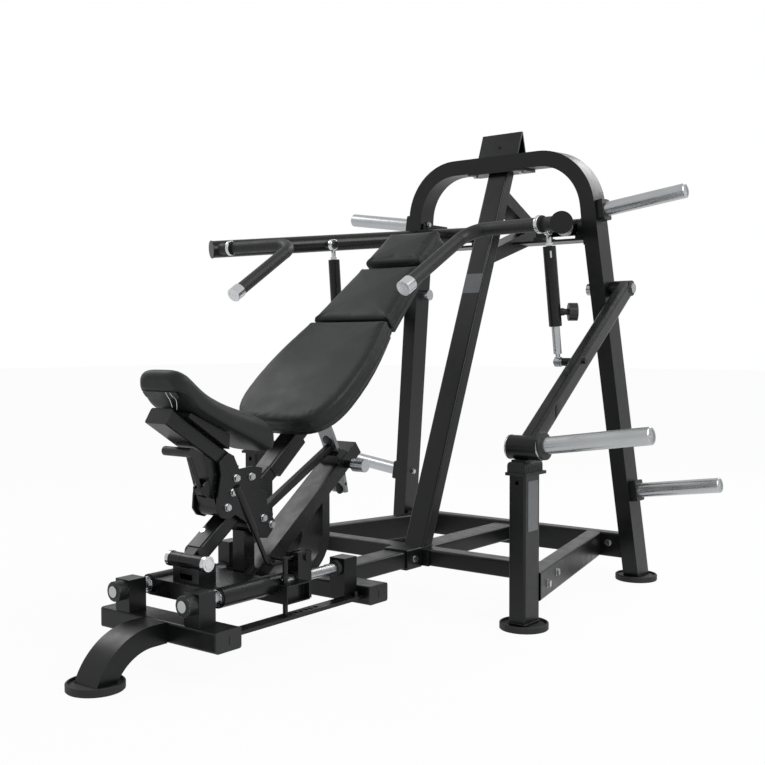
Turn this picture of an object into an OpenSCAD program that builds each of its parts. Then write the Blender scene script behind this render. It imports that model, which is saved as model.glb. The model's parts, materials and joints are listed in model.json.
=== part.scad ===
// Plate-loaded lever-arm press machine with a tilting bench on a sliding carriage.
// Millimetres. X runs to the right of someone facing the frame, +Y to the back, +Z up.
// The floor is Z = 0 and the middle plane is X = 0.

/* [Arch and column] */
// Height of the arch above the floor
arch_h = 1519; // [1350:1:1850]
// Half the width over the arch legs at the floor
arch_half_w = 540; // [450:1:650]
// Inward slope of each arch leg, in degrees
arch_splay = 6.2; // [4:0.1:7.5]
// Forward lean of the arch, in degrees
arch_lean = 3.06; // [1:0.01:4]
// Front face of the arch legs at the floor
arch_y = 885; // [760:1:1000]
// Outer radius of the arch's top bends
arch_bend_r = 218; // [150:1:260]
// Width of the arch and post tube
tube_w = 55; // [45:1:66]
// Depth of the arch and post tube
tube_d = 86; // [72:1:103]
// Wall of the steel tubes
tube_wall = 3; // [2:0.5:5]
// Outer corner radius of the steel tubes
tube_r = 7; // [4:0.5:10]
// Width of the column
column_w = 80; // [66:1:96]
// Depth of the column
column_d = 51; // [42:1:61]
// Front face of the column where it stands on the base
column_y = 296; // [280:1:340]

/* [Base] */
// Width of the beams under the column
spine_w = 87; // [72:1:104]
// Height of the beams under the column
spine_h = 54; // [45:1:60]
// Top of the beams under the column
spine_top = 152; // [140:1:170]
// Height of the side and rear beams
side_beam_h = 85; // [70:1:95]
// Top of the side and rear beams
side_beam_top = 160; // [150:1:175]
// Middle of each front post, sideways from the middle plane
post_x = 534.5; // [480:1:600]
// Middle of each front post, front to back
post_y = 112; // [90:1:150]
// Height of the front posts
post_h = 450; // [375:1:540]
// Diameter of the rubber feet
foot_d = 143.5; // [125:0.5:172]
// Height of the rubber feet
foot_h = 20; // [17:1:24]
// Depth of the cup in each foot
foot_cup = 6; // [3:1:8]

/* [Bench rails] */
// Middle of the front foot, in front of the frame's origin
front_foot_y = -1000; // [-1100:1:-960]
// Rear face of the bench's front crossbar
front_bar_y = -726; // [-740:1:-700]
// Rear face of the bench's rear crossbar
rear_bar_y = -113; // [-120:1:-60]
// Half the length of the bench crossbars
bench_bar_half = 215; // [205:1:260]
// Spacing of the guide shafts from the middle plane
rail_x = 132; // [120:1:140]
// Height of the guide shafts
rail_z = 188; // [180:1:196]
// Diameter of the guide shafts
rail_d = 30; // [25:1:36]
// Outer diameter of the slide sleeves
sleeve_d = 54; // [45:1:60]
// Radial running clearance of shafts in their bores
run_gap = 0.05; // [0.02:0.01:0.09]
// Spacing of the holes in the position bar
hole_pitch = 20; // [18:1:24]
// Diameter of the holes in the position bar
hole_d = 15; // [12:0.5:17]

/* [Bench] */
// Pivot of the tilting bench, front to back
tilt_y = -698; // [-710:1:-690]
// Pivot of the tilting bench, height
tilt_z = 262; // [255:1:275]
// Diameter of the bench pivot pin
tilt_pin_d = 16; // [14:1:20]
// Width of the bench strut
strut_w = 80; // [70:1:90]
// Thickness of the bench strut
strut_t = 42; // [35:1:50]
// Radius of the curved sector strap about the bench pivot
sector_r = 627; // [620:1:640]
// Width of the sector strap
sector_w = 53; // [44:1:60]
// Thickness of the sector strap
sector_t = 12; // [10:1:16]
// Angle between the sector strap's locking positions, in degrees
tilt_step = 3; // [2:0.5:4]
// Thickness of the bench side plates
plate_t = 6; // [4:1:8]
// Inner faces of the bench side plates, from the middle plane
plate_x = 43; // [42.5:0.5:50]
// Thickness of the back pads
pad_t = 56; // [46:1:62]
// Angle of the back pads above level, in degrees
back_angle = 39.8; // [37:0.1:42]
// Angle of the seat tube below level, in degrees
seat_angle = 33; // [30:0.5:36]

/* [Press arms and levers] */
// Pivot of the press arms, front to back
arm_y = 935; // [925:1:945]
// Pivot of the press arms, height
arm_z = 1250; // [1235:1:1260]
// Diameter of the press arm tube
arm_d = 60; // [50:1:66]
// Diameter of the press arm pivot shafts
arm_shaft_d = 30; // [25:1:36]
// Sideways place of the press arm at its pivot
arm_x0 = 220; // [210:1:230]
// Sideways place of the press arm's front end
arm_x1 = 691; // [640:1:760]
// Front end of the press arm, front to back
arm_front_y = 39; // [0:1:80]
// Front end of the press arm, height
arm_front_z = 1161; // [1100:1:1180]
// Diameter of the handle tubes
grip_d = 40; // [33:1:44]
// Pivot of the weight levers, front to back
lever_y = 880; // [872:1:890]
// Pivot of the weight levers, height
lever_z = 1020; // [1005:1:1035]
// Diameter of the lever pivot bolts
lever_bolt_d = 24; // [20:1:28]
// Lower end of the weight levers, front to back
sleeve_y = 100; // [85:1:130]
// Diameter of the sleeve at the lever's lower end
lever_sleeve_d = 70; // [60:1:84]
// Diameter of the weight horns
horn_d = 50; // [42:0.5:60]
// Exposed length of the loading horns
horn_len = 326; // [272:1:390]
// Exposed length of the storage horns
store_len = 290; // [242:1:348]
// Wall of the loading and storage horns
horn_wall = 4; // [3:0.5:8]
// Upward slope of the horns, in degrees
horn_rise = 8; // [5:0.5:10]
// Length of the links between their pivots is set by these two heights: upper pivot
link_z1 = 1190; // [1180:1:1200]
// Lower pivot of the links, height
link_z0 = 771; // [760:1:780]

/* [Hidden] */

$fn = 64;
touch = 0.4;        // how far welded pieces run into each other
eps = 0.01;
far = 4000;

// colours
black = "#26282a";
plastic = "#1c1d1e";
rubber = "#191a1a";
chrome = "#c9ccce";
zinc = "#9a9c9d";
leather = "#303232";

// ---------------------------------------------------------------- helpers

// Points along a circular arc.
function arc(c, r, a0, a1, n = 8) =
  [for (i = [0:n]) let (a = a0 + (a1 - a0) * i / n) c + r * [cos(a), sin(a)]];

// Rounded rectangle about the origin.
module rounded(w, h, r) {
  q = max(r, 0.5);
  translate([-w / 2, -h / 2 + q]) square([w, h - 2 * q]);
  translate([-w / 2 + q, -h / 2]) square([w - 2 * q, h]);
  for (i = [-1, 1], j = [-1, 1]) translate([i * (w / 2 - q), j * (h / 2 - q)]) circle(r = q, $fn = 32);
}

// Rounded tube section about the origin.
module section(w, h, wall = tube_wall, r = tube_r) {
  difference() {
    rounded(w, h, r);
    rounded(w - 2 * wall, h - 2 * wall, r - wall);
  }
}

// A shape drawn in Y and Z, carried along X from x0 to x1.
module along_x(x0, x1) translate([x0, 0, 0]) rotate([90, 0, 90]) linear_extrude(x1 - x0) children();

// A shape drawn in X and Z, carried along Y from y0 to y1.
module along_y(y0, y1) translate([0, y1, 0]) rotate([90, 0, 0]) linear_extrude(y1 - y0) children();

// A shape carried from point p to point q. Its first axis stays in the upright plane through both.
module between(p, q) {
  d = q - p;
  n = norm(d);
  translate(p) rotate([0, acos(d[2] / n), atan2(d[1], d[0])]) linear_extrude(n) children();
}

// Things turned about an axis along X through the point (y, z).
module turned(y, z, a) translate([0, y, z]) rotate([a, 0, 0]) children();

// A round bar along X through (y, z).
module bar_x(x0, x1, y, z, d) translate([x0, y, z]) rotate([0, 90, 0]) cylinder(h = x1 - x0, d = d);

// A round bar along Y through (x, z).
module bar_y(y0, y1, x, z, d) translate([x, y0, z]) rotate([-90, 0, 0]) cylinder(h = y1 - y0, d = d);

module rod(p, q, d) between(p, q) circle(d = d);

// A round bar from p to q by way of the bend k, whose centre line turns at radius r.
// The bend is a hair thicker, so the straight ends run cleanly into it.
module bent_rod(p, k, q, d, r) {
  u = (p - k) / norm(p - k);
  v = (q - k) / norm(q - k);
  a = acos(u * v);
  c = k + (u + v) / norm(u + v) * r / sin(a / 2);
  x = (k + u * r / tan(a / 2) - c) / r;
  y = -u;
  w = cross(x, y);
  rod(p, k + u * (r / tan(a / 2) - 2), d);
  rod(k + v * (r / tan(a / 2) - 2), q, d);
  multmatrix([[x[0], y[0], w[0], c[0]], [x[1], y[1], w[1], c[1]], [x[2], y[2], w[2], c[2]], [0, 0, 0, 1]])
    rotate_extrude(angle = 180 - a, $fn = 96) translate([r, 0]) circle(d = d + 0.8);
}

// The same thing on both sides of the middle plane.
module both() {
  children();
  mirror([1, 0, 0]) children();
}

module on_side(s) if (s > 0) children(); else mirror([1, 0, 0]) children();

// Hexagon bolt head, standing along +Z, with its washer.
module bolt_head(d = 10) {
  cylinder(h = 1.6, d = 2.1 * d);
  translate([0, 0, 1.6 - eps]) cylinder(h = 0.65 * d, d = 1.85 * d, $fn = 6);
}

// ---------------------------------------------------------------- places on the arch

function leg_out(z) = arch_half_w - z * tan(arch_splay);
function leg_in(z) = leg_out(z) - tube_w / cos(arch_splay);
function leg_front(z) = arch_y - z * tan(arch_lean);
function leg_mid(z) = leg_front(z) + tube_d / 2;
beam_z = arch_h - tube_w;                 // underside of the arch's top beam
foot_z = foot_h - foot_cup;               // where the tubes stand in the feet

// Arch outline in its own plane, shrunk by inset all round.
module arch_shape(inset) {
  cx = arch_half_w - arch_bend_r / cos(arch_splay) - (arch_h - arch_bend_r) * tan(arch_splay);
  cz = arch_h - arch_bend_r;
  r = arch_bend_r - inset;
  foot = arch_half_w - inset / cos(arch_splay);
  knee = [cx + r * cos(arch_splay), cz + r * sin(arch_splay)];
  polygon([[foot, 0], knee, [cx, cz + r], [-cx, cz + r], [-knee[0], knee[1]], [-foot, 0]]);
  for (s = [-1, 1]) translate([s * cx, cz]) circle(r = r, $fn = 128);
}

// The arch as if its tube were a solid bar, for cutting what is welded to it.
module arch_solid() translate([0, arch_y, 0]) rotate([arch_lean, 0, 0]) along_y(0, tube_d) difference() {
  arch_shape(0);
  arch_shape(tube_w);
}

module arch() color(black) difference() {
  arch_solid();
  translate([0, arch_y, 0]) rotate([arch_lean, 0, 0]) {
    along_y(tube_wall, tube_d - tube_wall) difference() {
      arch_shape(tube_wall);
      arch_shape(tube_w - tube_wall);
    }
  }
  translate([-far / 2, 0, -100]) cube([far, far, 100 + foot_z]);
  both() bar_x(0, far, lever_y, lever_z, lever_bolt_d + 0.5);
}

// ---------------------------------------------------------------- column and top

flange_t = 8;
column_top = beam_z - flange_t;
column_top_y = leg_mid(beam_z) - column_d / 2;
column_a = atan2(column_top_y - column_y, column_top - spine_top);
column_span = column_d / cos(column_a);
function column_front(z) = column_y + (z - spine_top) * tan(column_a);
function column_back(z) = column_front(z) + column_span;

module column() color(black) intersection() {
  difference() {
    translate([0, column_y + column_span / 2, spine_top]) rotate([-column_a, 0, 0])
      translate([0, 0, -200]) linear_extrude(arch_h + 600) section(column_w, column_d);
  }
  translate([-200, -200, spine_top]) cube([400, 3000, column_top - spine_top]);
}

hood_half = 84;
hood_rise = 86;
hood_t = 5;
flange_half = 120;

module top_bracket() color(black) difference() {
  top_plates();
  arch_solid();
}

module top_plates() {
  y0 = leg_front(arch_h);
  translate([-flange_half, leg_front(beam_z), column_top]) cube([2 * flange_half, tube_d, flange_t + 3]);
  // folded hood over the top beam
  difference() {
    along_x(-hood_half, hood_half)
      polygon([[y0 + 20, arch_h - 6], [y0 + 20, arch_h], [y0 + 52, arch_h + hood_rise],
               [y0 + 60, arch_h + hood_rise], [y0 + 84, arch_h + 4], [y0 + 84, arch_h - 6]]);
    along_x(-hood_half - 1, hood_half + 1)
      polygon([[y0 + 20 + hood_t, arch_h - 7], [y0 + 20 + hood_t, arch_h],
               [y0 + 54, arch_h + hood_rise - 2.4 * hood_t], [y0 + 58, arch_h + hood_rise - 2.4 * hood_t],
               [y0 + 84 - hood_t, arch_h], [y0 + 84 - hood_t, arch_h - 7]]);
  }
  bar_y(y0 + 29, y0 + 80, 0, arch_h + 34, 12);
}

// ---------------------------------------------------------------- pivot bracket behind the column

bracket_w = 70;
bracket_t = 55;
lower_slope = 17;       // rise of the lower strut, in degrees
lower_z = 1122;         // underside of the lower strut at the column
upper_z = 1385;         // top of the upper strut at the column
upper_slope = 25.5;     // fall of the upper strut, in degrees
upper_tall = 44;        // its depth, measured upright
strut_end_y = 1053;

module rear_bracket() color(black) {
  y0 = column_back(lower_z);
  y1 = column_back(upper_z);
  rise = (strut_end_y - y0) * tan(lower_slope);
  tall = bracket_t / cos(lower_slope);
  along_x(-bracket_w / 2, bracket_w / 2) {
    polygon([[y0, lower_z], [strut_end_y, lower_z + rise], [strut_end_y, lower_z + rise + tall],
             [column_back(lower_z + tall), lower_z + tall]]);
    // upper strut, down onto the end of the lower one
    polygon([[y1, upper_z], [strut_end_y, upper_z - (strut_end_y - y1) * tan(upper_slope)],
             [strut_end_y, upper_z - upper_tall - (strut_end_y - y1) * tan(upper_slope)],
             [column_back(upper_z - upper_tall), upper_z - upper_tall]]);
  }
}

plate_top = arm_z - 45;
pivot_plate_t = 8;
lug_t = 7;
pivot_plate_y0 = arm_y - 55;
pivot_plate_y1 = arm_y + 55;

module pivot_plate() color(black) {
  half = leg_in(plate_top);
  lug_y0 = leg_front(plate_top) + 8;
  // the bracket's lower strut passes through the middle
  difference() {
    union() {
      translate([-half, pivot_plate_y0, plate_top - pivot_plate_t])
        cube([2 * half, pivot_plate_y1 - pivot_plate_y0, pivot_plate_t]);
      both() along_y(lug_y0, pivot_plate_y1)
        polygon([[leg_in(plate_top - 30) - lug_t, plate_top - 30], [leg_in(plate_top - 30) + 2, plate_top - 30],
                 [leg_in(plate_top + 90) + 2, plate_top + 90], [leg_in(plate_top + 90) - lug_t, plate_top + 90]]);
    }
    translate([-bracket_w / 2, 0, 0]) cube([bracket_w, far, far]);
    arch_solid();
  }
}

block_w = 36;
block_x = [135, 305];

module pillow_blocks() color(plastic) both() for (x = block_x) difference() {
  along_x(x - block_w / 2, x + block_w / 2) union() {
    translate([arm_y, arm_z]) circle(d = arm_shaft_d + 34);
    translate([arm_y - 32, plate_top]) square([64, arm_z - plate_top]);
    translate([arm_y - 50, plate_top]) square([100, 13]);
  }
  bar_x(x - block_w, x + block_w, arm_y, arm_z, arm_shaft_d + 2 * run_gap);
}

// ---------------------------------------------------------------- base

side_in_x = 392;        // outer face of the side beams where they meet the rear beam
rear_bar_t = 51;
rear_beam_y = arch_y + 4;
post_back = post_y + tube_d / 2;
side_a = atan2(post_x + tube_w / 2 + 4 - side_in_x, rear_beam_y - post_back);
function side_out(y) = side_in_x + (rear_beam_y - y) * tan(side_a);
function side_in(y) = side_out(y) - tube_w / cos(side_a);
cross_y = column_y - 19;
cross_d = 65;

module front_posts() color(black) both() difference() {
  translate([post_x, post_y, foot_z]) linear_extrude(post_h - foot_z) section(tube_w, tube_d);
  translate([post_x, post_y, post_h - 19]) cube([12, tube_d + 20, 14], center = true);
}

module stop_bumpers() color(rubber) both() {
  translate([post_x, post_y + 3, post_h]) {
    translate([-35, -53, 0]) cube([70, 116, 9]);
    difference() {
      rotate([90, 0, 0]) translate([0, 0, -50]) linear_extrude(100) {
        translate([-30, 9 - touch]) square([60, 20]);
        polygon(concat([[30, 28]], arc([18, 28], 12, 0, 90, 6), arc([-18, 28], 12, 90, 180, 6)));
      }
      for (i = [-4:4], s = [-1, 1]) translate([s * 31, i * 11, 20]) cube([4, 4, 16], center = true);
    }
    // rounded saddle that the lever's sleeve lands on
    translate([0, sleeve_y - post_y - 3, 38])
      cube([48, 44, 2 * (sleeve_low - post_h - 0.5 - 38)], center = true);
  }
}

module side_beams() color(black) both() difference() {
  translate([0, 0, side_beam_top - side_beam_h / 2]) between_y(post_back, rear_beam_y)
    section(side_beam_h, tube_w);
}

// A section carried along the slanting side beam, cut square to the frame at both ends.
module between_y(y0, y1) intersection() {
  x0 = (side_out(y0) + side_in(y0)) / 2;
  x1 = (side_out(y1) + side_in(y1)) / 2;
  step = [x1 - x0, y1 - y0, 0] / (y1 - y0);
  between([x0, y0, 0] - 60 * step, [x1, y1, 0] + 60 * step) children();
  translate([0, y0, -500]) cube([far, y1 - y0, 1000]);
}

module rear_crossbar() color(black) {
  half = leg_in(side_beam_top);
  translate([0, rear_beam_y + rear_bar_t / 2, side_beam_top - side_beam_h / 2]) rotate([90, 0, 90])
    translate([0, 0, -half]) linear_extrude(2 * half) section(rear_bar_t, side_beam_h);
}

module base_beams() color(black) {
  mid = spine_top - spine_h / 2;
  translate([0, 0, mid]) {
    along_y(rear_bar_y, cross_y) section(spine_w, spine_h);
    along_y(cross_y + cross_d, rear_beam_y) section(spine_w, spine_h);
  }
  // cross beam between the side beams
  intersection() {
    translate([0, cross_y + cross_d / 2, mid]) rotate([90, 0, 90])
      translate([0, 0, -600]) linear_extrude(1200) section(cross_d, spine_h);
    linear_extrude(400) polygon([
      [-side_in(cross_y), cross_y], [side_in(cross_y), cross_y],
      [side_in(cross_y + cross_d), cross_y + cross_d], [-side_in(cross_y + cross_d), cross_y + cross_d]]);
  }
}

hub_t = 6;

module hub_bracket() color(black) difference() {
  union() {
    translate([0, 0, spine_top - spine_h / 2]) along_y(cross_y - 80, cross_y)
      rounded(spine_w + 2 * hub_t, spine_h + 2 * hub_t, 5);
    both() translate([spine_w / 2, cross_y - 7, spine_top - spine_h]) cube([38, 7, spine_h]);
  }
  translate([0, 0, spine_top - spine_h / 2]) along_y(-far, far) rounded(spine_w, spine_h, tube_r);
}

function feet() = [
  [post_x, post_y], [-post_x, post_y],
  [leg_out(foot_z) - tube_w / 2, leg_mid(foot_z)], [-leg_out(foot_z) + tube_w / 2, leg_mid(foot_z)],
  [0, front_foot_y]];

module rubber_feet() color(rubber) for (f = feet()) translate([f[0], f[1], 0]) rotate_extrude($fn = 96)
  polygon([[0, 0], [foot_d / 2 - 2, 0], [foot_d / 2, 2], [foot_d / 2, foot_h - 2],
           [foot_d / 2 - 2, foot_h], [foot_d / 2 - 6, foot_h], [foot_d / 2 - 7, foot_z], [0, foot_z]]);

// ---------------------------------------------------------------- storage horns

store_z = [314, 1293];
collar_t = 24;

// Things at a storage horn's root, with Z pointing out along the horn.
module at_store(z) translate([leg_out(z), leg_mid(z), z]) rotate([0, 90 - horn_rise, 0]) children();

module horn_bar(len) difference() {
  rotate_extrude($fn = 96) polygon([[0, 0], [horn_d / 2, 0], [horn_d / 2, len - 2.5],
                                   [horn_d / 2 - 2.5, len], [0, len]]);
  translate([0, 0, len - 5]) cylinder(h = 6, d = horn_d - 16);
  translate([0, 0, -1]) cylinder(h = len - 14, d = horn_d - 2 * horn_wall);
}

module storage_horns() color(chrome) both() for (z = store_z)
  at_store(z) translate([0, 0, collar_t]) horn_bar(store_len);

module storage_collars() color(black) both() for (z = store_z) difference() {
  at_store(z) translate([0, 0, -14]) linear_extrude(14 + collar_t) rounded(horn_d + 22, horn_d + 10, 8);
  along_y(-far, far) polygon([[0, -10], [leg_out(-10) - 20, -10], [leg_out(arch_h) - 20, arch_h], [0, arch_h]]);
  arch_solid();
}

module lever_pivots() color(chrome) both() {
  inner = leg_in(lever_z);
  difference() {
    bar_x(inner - 30, inner + 4, lever_y, lever_z, 42);
    arch_solid();
  }
  bar_x(inner - 5, lever_x1, lever_y, lever_z, lever_bolt_d);
  bar_x(lever_x1, lever_x1 + 8, lever_y, lever_z, 34);
}

// ---------------------------------------------------------------- bench rails

bar_top = 131;
bar_h = 54;
bar_d = 86;
cap_t = 5;

module crossbar(y1, half) translate([0, y1 - bar_d / 2, bar_top - bar_h / 2]) rotate([90, 0, 90])
  translate([0, 0, -half]) linear_extrude(2 * half) section(bar_d, bar_h);

module bench_crossbars() color(black) {
  crossbar(front_bar_y, bench_bar_half);
  crossbar(rear_bar_y, bench_bar_half - 14);
}

module tube_caps() color(plastic) both() {
  for (c = [[front_bar_y, bench_bar_half], [rear_bar_y, bench_bar_half - 14]])
    translate([c[1], c[0] - bar_d / 2, bar_top - bar_h / 2]) rotate([90, 0, 90]) difference() {
      union() {
        linear_extrude(cap_t) rounded(bar_d, bar_h, tube_r);
        translate([0, 0, -12]) linear_extrude(13)
          rounded(bar_d - 2 * tube_wall - 0.4, bar_h - 2 * tube_wall - 0.4, tube_r - tube_wall);
      }
      translate([0, 0, cap_t]) cube([4, 22, 2], center = true);
    }
}

leg_straight = 45;      // level stretch of the front leg
leg_run = front_bar_y - bar_d - front_foot_y - leg_straight;
leg_drop = bar_top - bar_h / 2 - foot_z;
leg_bend_r = (leg_run * leg_run + leg_drop * leg_drop) / (2 * leg_drop);    // middle radius of its bend
leg_bend_a = 2 * atan2(leg_drop, leg_run);

module leg_section() difference() {
  square([bar_h, spine_w], center = true);
  square([bar_h - 2 * tube_wall, spine_w - 2 * tube_wall], center = true);
}

module front_leg() color(black) {
  y0 = front_bar_y - bar_d;
  mid = bar_top - bar_h / 2;
  difference() {
    union() {
      translate([0, y0 - leg_straight, mid - leg_bend_r]) rotate([0, 90, 0]) rotate([0, 0, 180])
        rotate_extrude(angle = leg_bend_a + 12, $fn = 160) translate([leg_bend_r, 0]) leg_section();
      translate([0, y0, mid]) rotate([90, 0, 0]) linear_extrude(leg_straight + eps) rotate([0, 0, 90]) leg_section();
    }
    translate([-200, -far, -400]) cube([400, 2 * far, 400 + foot_z]);
  }
}

block_d = 56;
front_block_y = -829 + 18;
rear_block_y = rear_bar_y - bar_d - block_d;
block_top = rail_z + 28;

module rail_block(y, z0) difference() {
  translate([rail_x - tube_w / 2, y, z0]) cube([tube_w, block_d, block_top - z0]);
  bar_y(y - 1, y + block_d + 1, rail_x, rail_z, rail_d + 0.02);
}

module rail_blocks() color(black) both() {
  rail_block(front_block_y, bar_top);
  rail_block(rear_block_y, position_bar_z + position_bar_t);
}

module guide_shafts() color(chrome) both() {
  bar_y(front_block_y - 2, rear_block_y + block_d, rail_x, rail_z, rail_d);
  bar_y(front_block_y - 28, front_block_y, rail_x, rail_z, sleeve_d - 2);
  bar_y(front_block_y - 32, front_block_y - 26, rail_x, rail_z, rail_d);
}

lock_x = 167;           // the position bar and its plunger
lock_y = -510;
position_bar_w = 40;
position_bar_t = 10;
position_bar_z = 96;

module hole_bar() color(black) {
  y0 = front_bar_y;
  y1 = rear_bar_y - bar_d;
  difference() {
    translate([lock_x - position_bar_w / 2, y0, position_bar_z])
      cube([position_bar_w, y1 - y0, position_bar_t]);
    for (i = [-1:6]) translate([lock_x, lock_y + i * hole_pitch, position_bar_z - 1])
      cylinder(h = position_bar_t + 2, d = hole_d);
  }
  for (y = [y0 + 22, y1 - 22]) translate([lock_x + 5, y, position_bar_z + position_bar_t - eps])
    cylinder(h = 12, d = 16, $fn = 6);
}

// ---------------------------------------------------------------- fasteners of the frame

module frame_bolts() color(chrome) {
  both() {
    // side beams to posts, and rear beam to legs
    for (y = [226, 321]) translate([side_out(y), y, side_beam_top - side_beam_h / 2 + (y > 300 ? 12 : -4)])
      rotate([0, 0, side_a]) rotate([0, 90, 0]) bolt_head(12);
    translate([leg_in(124) - 50, rear_beam_y, 124]) rotate([90, 0, 0]) bolt_head(12);
    // storage horns through the legs
    for (i = [0, 1]) translate([leg_in(store_z[i]) - i * lug_t / cos(arch_splay) - 0.1, leg_mid(store_z[i]), store_z[i]])
      rotate([0, -90 - arch_splay, 0]) bolt_head(10);
    // hub bracket
    translate([spine_w / 2 + hub_t, cross_y - 40, spine_top - spine_h / 2]) rotate([0, 90, 0]) bolt_head(11);
    translate([flange_half - 22, leg_mid(beam_z) - 20, column_top]) rotate([180, 0, 0]) bolt_head(11);
  }
}

// ---------------------------------------------------------------- carriage

deck_top = 205;
carriage_front = -722;
rear_tube_y = [-531, -440];
rear_tube_z = [141, 190];
rear_tube_half = 193;
sleeve_end = -510;
upright_d = 54;
upright_top = 262;
rod_x = 130;

module carriage_frame() color(black) {
  carriage_body();
  bar_x(rod_x - 10, rod_x + 20, rod_back_y, rod_back_z, rod_pin_d);
}

module carriage_body() difference() {
  union() {
    translate([-rail_x, carriage_front, deck_top - 45]) cube([2 * rail_x, 85, 45]);
    translate([-rail_x, carriage_front + 80, deck_top - 12]) cube([2 * rail_x, 115, 12]);
    translate([-rear_tube_half, rear_tube_y[0], rear_tube_z[0]])
      cube([2 * rear_tube_half, rear_tube_y[1] - rear_tube_y[0], rear_tube_z[1] - rear_tube_z[0]]);
    both() translate([rail_x - 22, rear_tube_y[1] - 6, rear_tube_z[0] - 10])
      cube([46, upright_d, upright_top - rear_tube_z[0] + 10]);
    both() bar_x(rail_x + 24, rail_x + 30, rod_back_y, rod_back_z, 20);
  }
  // room for the sleeves, the shafts, the plunger and the release rod
  both() {
    bar_y(carriage_front - 1, sleeve_end, rail_x, rail_z, sleeve_d);
    bar_y(sleeve_end - 1, 0, rail_x, rail_z, rail_d + 4);
  }
  translate([lock_x, lock_y, 0]) cylinder(h = 400, d = plunger_d + 2 * run_gap);
  translate([rod_x - 8, -far, rod_back_z - 12]) cube([16, far, 60]);
  translate([-rail_x + 28, carriage_front + 3, deck_top - 42]) cube([2 * rail_x - 56, 79, 39]);
  both() translate([rear_tube_half - 20, rear_tube_y[0] + 3, rear_tube_z[0] + 3])
    cube([21, rear_tube_y[1] - rear_tube_y[0] - 6, rear_tube_z[1] - rear_tube_z[0] - 6]);
}

module slide_sleeves() color(black) both() difference() {
  union() {
    bar_y(carriage_front, sleeve_end, rail_x, rail_z, sleeve_d - 0.02);
    bar_y(carriage_front - 6, carriage_front, rail_x, rail_z, sleeve_d - 6);
  }
  bar_y(carriage_front - 7, sleeve_end + 1, rail_x, rail_z, rail_d + 2 * run_gap);
  bar_y(carriage_front - 7, carriage_front + 1, rail_x, rail_z, rail_d + 8);
}

barrel_d = 38;
barrel_half = 64;
knuckle_half = 19;

module barrel_bracket() color(black) difference() {
  translate([-50, tilt_y - 12, deck_top]) cube([100, 60, tilt_z - deck_top - 8]);
  bar_x(-far, far, tilt_y, tilt_z, barrel_d);
  bar_x(-knuckle_half - 1, knuckle_half + 1, tilt_y, tilt_z, barrel_d + 3);
  translate([-knuckle_half - 1, tilt_y, tilt_z - 28]) cube([2 * knuckle_half + 2, 100, 100]);
  translate([-24, tilt_y - 20, deck_top + 9]) cube([48, 40, 15]);
}

module pivot_barrel() color(black) {
  both() bar_x(knuckle_half + 0.5, barrel_half, tilt_y, tilt_z, barrel_d);
  both() bar_x(barrel_half - eps, barrel_half + 9, tilt_y, tilt_z, barrel_d - 3);
  bar_x(-barrel_half, barrel_half, tilt_y, tilt_z, tilt_pin_d);
}

// The strut leans back over the rear tube; these are points on its top face.
strut_a = 36.9;
strut_top = [-56, 530];
strut_dir = [cos(strut_a), sin(strut_a)];
strut_down = [sin(strut_a), -cos(strut_a)];
function strut_point(along, depth) = strut_top - along * strut_dir + depth * strut_down;
strut_len = (strut_top[1] - rear_tube_z[1]) / sin(strut_a);
sector_a0 = 19.06;      // where the sector strap crosses the strut
sector_gap = 0.8;

module ring_sector(r, t, w, a0, a1) translate([0, tilt_y, tilt_z]) rotate([90, 0, 90])
  translate([0, 0, -w / 2]) rotate([0, 0, a0]) rotate_extrude(angle = a1 - a0, $fn = 360)
    translate([r - t / 2, 0]) square([t, w]);

module bench_strut() color(black) difference() {
  union() {
    difference() {
      along_x(-strut_w / 2, strut_w / 2) polygon([
        strut_point(0, 0), strut_point(strut_len, 0),
        strut_point(strut_len - strut_t / tan(strut_a), strut_t), strut_point(0, strut_t)]);
      along_x(-strut_w / 2 + tube_wall, strut_w / 2 - tube_wall) polygon([
        strut_point(4, tube_wall), strut_point(strut_len - 20, tube_wall),
        strut_point(strut_len - 70, strut_t - tube_wall), strut_point(4, strut_t - tube_wall)]);
    }
    // guide round the sector strap
    along_x(-strut_w / 2 + 2, strut_w / 2 - 2) polygon([
      strut_point(45, 1), strut_point(100, 1), strut_point(92, -24), strut_point(58, -24)]);
    along_x(-strut_w / 2 + 1, strut_w / 2 - 1) polygon([
      strut_point(50, 2), strut_point(105, 2), strut_point(105, strut_t - 2), strut_point(50, strut_t - 2)]);
    // barrel of the pull pin
    bar_x(strut_w / 2 - 2, strut_w / 2 + 34, pin_y, pin_z, 24);
    // rest for the bench on the rear tube
    translate([-22, rest_y - 20, rear_tube_z[1]]) cube([44, 40, rest_z - rear_tube_z[1]]);
  }
  ring_sector(sector_r, sector_t + 2 * sector_gap, sector_w + 2 * sector_gap, 5, 35);
  bar_x(0, strut_w, pin_y, pin_z, pin_d + 2 * run_gap);
  translate([0, strut_point(0, strut_t / 2)[0], strut_point(0, strut_t / 2)[1]])
    rotate([strut_a, 0, 0]) cube([26, 4, 4], center = true);
}

prop_t = 32;
prop_r = 105;
prop_y = -195;          // middle of the prop's upright stretch
prop_z = 168;           // middle of its level stretch

module bench_prop() color(black) difference() {
  along_x(-strut_w / 2, strut_w / 2) difference() {
    union() {
      translate([prop_y - prop_t / 2, prop_z + prop_r]) square([prop_t, 300]);
      translate([rear_tube_y[1], prop_z - prop_t / 2])
        square([prop_y - prop_r - rear_tube_y[1], prop_t]);
      intersection() {
        translate([prop_y - prop_r, prop_z + prop_r]) difference() {
          circle(r = prop_r + prop_t / 2, $fn = 128);
          circle(r = prop_r - prop_t / 2, $fn = 128);
        }
        translate([prop_y - prop_r, prop_z - prop_t]) square([300, prop_r + prop_t]);
      }
    }
    polygon([strut_point(-300, strut_t), strut_point(600, strut_t), [-600, 900], [300, 900]]);
  }
}

// ---------------------------------------------------------------- release handle and lock

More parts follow.
